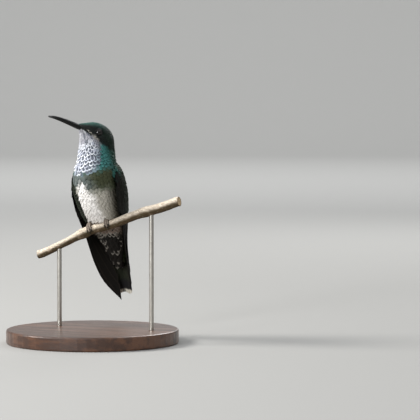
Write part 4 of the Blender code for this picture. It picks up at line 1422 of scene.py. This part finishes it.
def tail(finish):
    """Ten closed tail feathers: the middle pair on top, the white-tipped outer ones beneath in steps."""
    rng = np.random.default_rng(TAIL_SEED)
    run = unit(np.subtract(TAIL_TIP, TAIL_ROOT))
    root = TAIL_ROOT - run * TAIL_INSIDE
    length = np.linalg.norm(TAIL_TIP - root)
    sideways = np.array((1.0, 0.0, 0.0))
    backwards = unit(np.cross(sideways, run))
    backwards = backwards * -np.sign(backwards[1])
    half_widths = (3.8, TAIL_HALF_WIDTHS[0] + 0.8, TAIL_HALF_WIDTHS[1])

    def edges(spread, share):
        half = np.interp(share, (0, 0.33, 1), half_widths)
        broad = half * RECTRIX_WIDTH
        middle = spread * (half - broad / 2)
        return middle - broad / 2, middle + broad / 2

    def place(depth, share, across, height, _):
        arch = TAIL_ARCH * (1 - (across / (TAIL_HALF_WIDTHS[1] + 0.3)) ** 2)
        rise = arch + 0.24 - 0.62 * depth + height
        return root + run * (share * length) + across[:, None] * sideways + rise[:, None] * backwards

    feathers = []
    for number in range(RECTRICES):
        spread = 2 * number / (RECTRICES - 1) - 1
        depth = abs(spread)
        end = 0.985 - 0.03 * (1 - depth**2) + 0.03 * max(0.0, -spread)
        spot = (0.5 + 0.5 * depth, float(smooth(depth, 0.2, 0.6)), rng.uniform(-1, 1))
        feathers.append(quill(functools.partial(edges, spread), functools.partial(place, depth), 0.0, end,
                              0.5 - 0.18 * spread, 0.09, (number, RECTRICES), spot, finish))
    place_piece("tail_quills", joined("tail_quills", feathers), "wing_feathers", "tail")


# ---------------------------------------------------------------- feet

TOE_SIDES, CLAW_SIDES = 14, 12
CLAW_STATIONS = 26


def toe_path(foot_x, spread, start, sweep):
    """Ten places along a toe, round the branch from its start by its sweep, in degrees."""
    share = np.linspace(0, 1, 10)
    x = foot_x + spread * (0.25 + 0.75 * share)
    angle = np.radians(start + sweep * share)
    reach = perch_row(x)[:, 3] + TOE_CLEAR + TOE_RADIUS * 1.05 + 0.22 * np.sin(math.pi * share)
    up, ahead = np.cos(angle) * reach, np.sin(angle) * reach
    return perch_axis(x) + together(TOE_LEAN * up, ahead, up)


def scaled_tube(places, radii, scutes, finish):
    """A toe or shank: scutes overlap along it as low ridges."""
    count = 12 * scutes
    stations = np.linspace(0, len(places) - 1, count)
    ridge = np.linspace(0, scutes, count) % 1
    ridge = np.where(ridge < 0.75, ridge / 0.75, (1 - ridge) / 0.25)
    from_start = np.arange(count)
    round_ends = np.sqrt(np.clip(np.minimum(from_start + 0.6, count - from_start - 0.4) / 2.5, 0.05, 1))
    radius = np.interp(stations, np.arange(len(radii)), radii) * (0.90 + 0.12 * ridge) * round_ends
    run = together(*tube_run(count, TOE_SIDES), ridge[:, None])
    return capped_tube("toe", rings_along(spline(places, stations), radius, TOE_SIDES), finish, {"run": run})


def feet(skin_finish, horn):
    """Three toes over the branch and one behind it on each foot, each with its claw."""
    for side, foot_x in FOOT_X.items():
        ankle = perch_axis(foot_x)[0] + np.array(ANKLE)
        shank = ankle + np.array(((0.1, -1.2, 2.6), (0, -0.2, 1.0), (0, 0, 0), (0.05, 0.5, -0.5)))
        toes = [toe_path(foot_x, SIGN[side] * spread, start, sweep) for _, spread, start, sweep in TOES]
        parts = [scaled_tube(shank, (0.62, 0.64, 0.66, 0.5), 4, skin_finish)]
        for toe in toes:
            path = np.array([ankle + (0, 0.05, 0), *toe])
            parts.append(scaled_tube(path, TOE_RADIUS * np.linspace(1.12, 0.86, len(path)), 11, skin_finish))
        claws = [claw(toe, horn) for toe in toes]
        place_piece(f"toes_{side}", joined("toes", parts), "foot_skin", f"foot_{side}")
        nodes = [f"claw_{side}_{name}" for name, *_ in TOES]
        place_piece(f"claws_{side}", joined("claws", claws), "horn", *nodes)


def claw(toe, finish):
    """A sharp hook that carries the toe's curve on."""
    direction = unit(toe[-1] - toe[-2])
    turn = direction - unit(toe[-2] - toe[-3])
    places = [toe[-1] - direction * 0.25, toe[-1] + direction * TOE_CLEAR]
    while len(places) < 6:
        direction = unit(direction + CLAW_HOOK * turn * 1.1)
        places.append(places[-1] + CLAW_STEP * direction)
    path = spline(places, np.linspace(0, len(places) - 1, CLAW_STATIONS))
    radii = CLAW_RADIUS * (1 - np.linspace(0, 0.93, CLAW_STATIONS) ** 1.3)
    return capped_tube("claw", rings_along(path, radii, CLAW_SIDES), finish)


# ---------------------------------------------------------------- perch

BARK_STATIONS, BARK_SIDES = 320, 64
SAWN_RINGS = (0.93, 0.75, 0.5, 0.25, 0.08)  # rings of points on a sawn end, as shares of its radius


def bark_depth(place):
    """How far the bark stands out at a place: low lumps, long cracks and fine grain."""
    crack = noise.noise(Vector((place.x * 0.16 + 3, place.y * 0.9 + 5, place.z * 0.9 + 7)))
    lump = noise.noise(Vector((place.x * 0.22, place.y * 0.3, place.z * 0.3)))
    return 0.10 * lump - 0.16 * max(0.0, 0.12 - abs(crack)) / 0.12 + 0.05 * noise.noise(place * 1.7) - 0.06


def perch(bark, sawn):
    """The cut branch: a tapering stick of cracked bark with low knots and two sawn ends."""
    count, sides = BARK_STATIONS, BARK_SIDES
    xs = np.linspace(PERCH[0][0], PERCH[-1][0], count)
    axis = perch_axis(xs)
    rings = rings_along(axis, perch_row(xs)[:, 3], sides)
    out = unit(rings - axis[:, None])
    rings += out * np.array([[bark_depth(Vector(place)) for place in ring] for ring in rings])[..., None]
    middles = rings[[0, -1]].mean(1)
    cuts = [[middle + (rings[end] - middle) * share for share in SAWN_RINGS]
            for end, middle in zip((0, -1), middles)]
    rings = np.array([*cuts[0][::-1], *rings, *cuts[1]])
    ring_share = np.array([*SAWN_RINGS[::-1], *np.ones(count), *SAWN_RINGS])[:, None]
    cut_rows = len(SAWN_RINGS)
    # How far each point faces up, which the bark's finish uses to paint the top pale and the underside brown
    # as light from above.
    height = np.pad(out[..., 2], ((cut_rows, cut_rows), (0, 0)))
    mesh = capped_tube("branch", rings, bark, {"run": together(0.0, ring_share, height)}, sharpest=50)
    mesh.materials.append(sawn)
    row = np.repeat(np.arange(len(rings) - 1), sides)
    on_cut = (row < cut_rows) | (row >= cut_rows + count - 1)
    mesh.polygons.foreach_set("material_index", [*on_cut.astype(int), 1, 1])
    place_piece("branch", mesh, "bark", "perch")


# ---------------------------------------------------------------- stand, floor, light and camera

CAMERA_AZIMUTH, CAMERA_ELEVATION = 25.0, 3.0
CAMERA_LENS, CAMERA_DISTANCE = 200.0, 1166.7
AIM_ASIDE, AIM_ABOVE = 56.0, 9.0  # the picture's middle from the branch's middle between the feet

SKY, SKY_STRENGTH = (0.93, 0.96, 1.0, 1), 0.95

# Each light's name, place, size, watts, colour and what it aims at, in metres
LIGHTS = (
    ("key", (-0.75, -0.34, 0.66), 0.4, 13.5, (1.0, 0.985, 0.96), (0, 0, 0.07)),
    ("front", (-0.05, -1.0, 0.30), 0.22, 5.4, (0.97, 0.98, 1.0), (0, 0, 0.07)),
    ("rim", (-0.1, 0.9, 0.6), 0.5, 2.8, (1.0, 1.0, 1.0), (0, 0, 0.07)),
    ("wall", (-0.8, 1.5, 1.9), 1.4, 46, (0.97, 0.98, 1.0), (-1.6, 3.5, 0.35)),
)


def dress_stand():
    wood, metal = stand_wood_finish(), rod_finish()
    for name, finish in (("stand_base", wood), ("stand_rod_left", metal), ("stand_rod_right", metal)):
        solid = frame["nodes"][name].data
        solid.materials.clear()
        solid.materials.append(finish)


def studio_floor():
    """A plain round floor that curves up into a wall, well away from the stand."""
    bend = [(3.2 + math.sin(angle), 1 - math.cos(angle)) for angle in np.linspace(0, math.pi / 2, 13)]
    rows = np.array([(0.02, 0.0), (0.4, 0.0), *bend, (4.2, 2.6)])
    turns = np.linspace(0, FULL_TURN, 96, endpoint=False)
    radius, height = rows.T[..., None]
    places = together(radius * np.cos(turns), radius * np.sin(turns), height)
    mesh = bpy.data.meshes.new("studio_floor")
    mesh.from_pydata(places.reshape(-1, 3).tolist(), [], tube_faces(len(rows), len(turns))[:-1])
    mesh.shade_smooth()
    mesh.materials.append(floor_finish())
    new_object("studio_floor", mesh)


def camera():
    azimuth, elevation = math.radians(CAMERA_AZIMUTH), math.radians(CAMERA_ELEVATION)
    back = Vector((math.sin(azimuth) * math.cos(elevation), -math.cos(azimuth) * math.cos(elevation),
                   math.sin(elevation)))
    aside = Vector((math.cos(azimuth), math.sin(azimuth), 0))
    aim = Vector(FEET) + aside * AIM_ASIDE + back.cross(aside) * AIM_ABOVE
    lens = bpy.data.cameras.new("camera")
    lens.lens = CAMERA_LENS
    lens.clip_start, lens.clip_end = 0.01, 20
    eye = new_object("camera", lens)
    eye.location = (aim + back * CAMERA_DISTANCE) * MM
    eye.rotation_euler = back.to_track_quat("Z", "Y").to_euler()
    bpy.context.scene.camera = eye


def lights():
    for name, place, size, watts, colour, aim in LIGHTS:
        lamp = bpy.data.lights.new(name, "AREA")
        lamp.shape = "DISK"
        lamp.size = size
        lamp.energy = watts
        lamp.color = colour
        obj = new_object(name, lamp)
        obj.location = place
        obj.rotation_euler = (Vector(aim) - Vector(place)).to_track_quat("-Z", "Y").to_euler()
    scene = bpy.context.scene
    scene.view_settings.view_transform = "Standard"
    scene.world = bpy.data.worlds.new("studio")
    scene.world.use_nodes = True
    background = scene.world.node_tree.nodes["Background"]
    background.inputs["Color"].default_value = SKY
    background.inputs["Strength"].default_value = SKY_STRENGTH


# ---------------------------------------------------------------- the whole

FEATHER_TREE = feather_tree()
FEATHER = new_object("feather", feather_mesh("feather", 4, (0, 0.3, 0.6, 0.78, 0.9, 0.97, 1)))
SMALL_FEATHER = new_object("small_feather", feather_mesh("small_feather", 2, (0, 0.4, 0.72, 0.9, 1)))

plumage = plumage_finish()
skin(plumage, lid_finish())
body_coats(plumage)
eyeballs()
bill(horn_finish("bill_horn", (13, 14, 11), (28, 30, 23)))
quills = quill_finish("wing_quills", (20, 18, 15), (36, 32, 27), 0.05)
coverts = covert_finish()
arm_skin = quill_finish("wing_skin", (22, 20, 18), (26, 24, 22), 0.1)
for side in SIDES:
    wing_quills(side, quills)
    wing_coverts(side, coverts)
    wing_arm(side, arm_skin)
tail(quill_finish("tail_quills", (30, 34, 24), (44, 46, 36), 0.2, (200, 196, 184)))
feet(foot_finish(), horn_finish("claw_horn", (20, 18, 17), (54, 48, 42)))
perch(bark_finish(), sawn_finish())
dress_stand()
for guide in (FEATHER, SMALL_FEATHER):
    bpy.data.objects.remove(guide)

studio_floor()
camera()
lights()
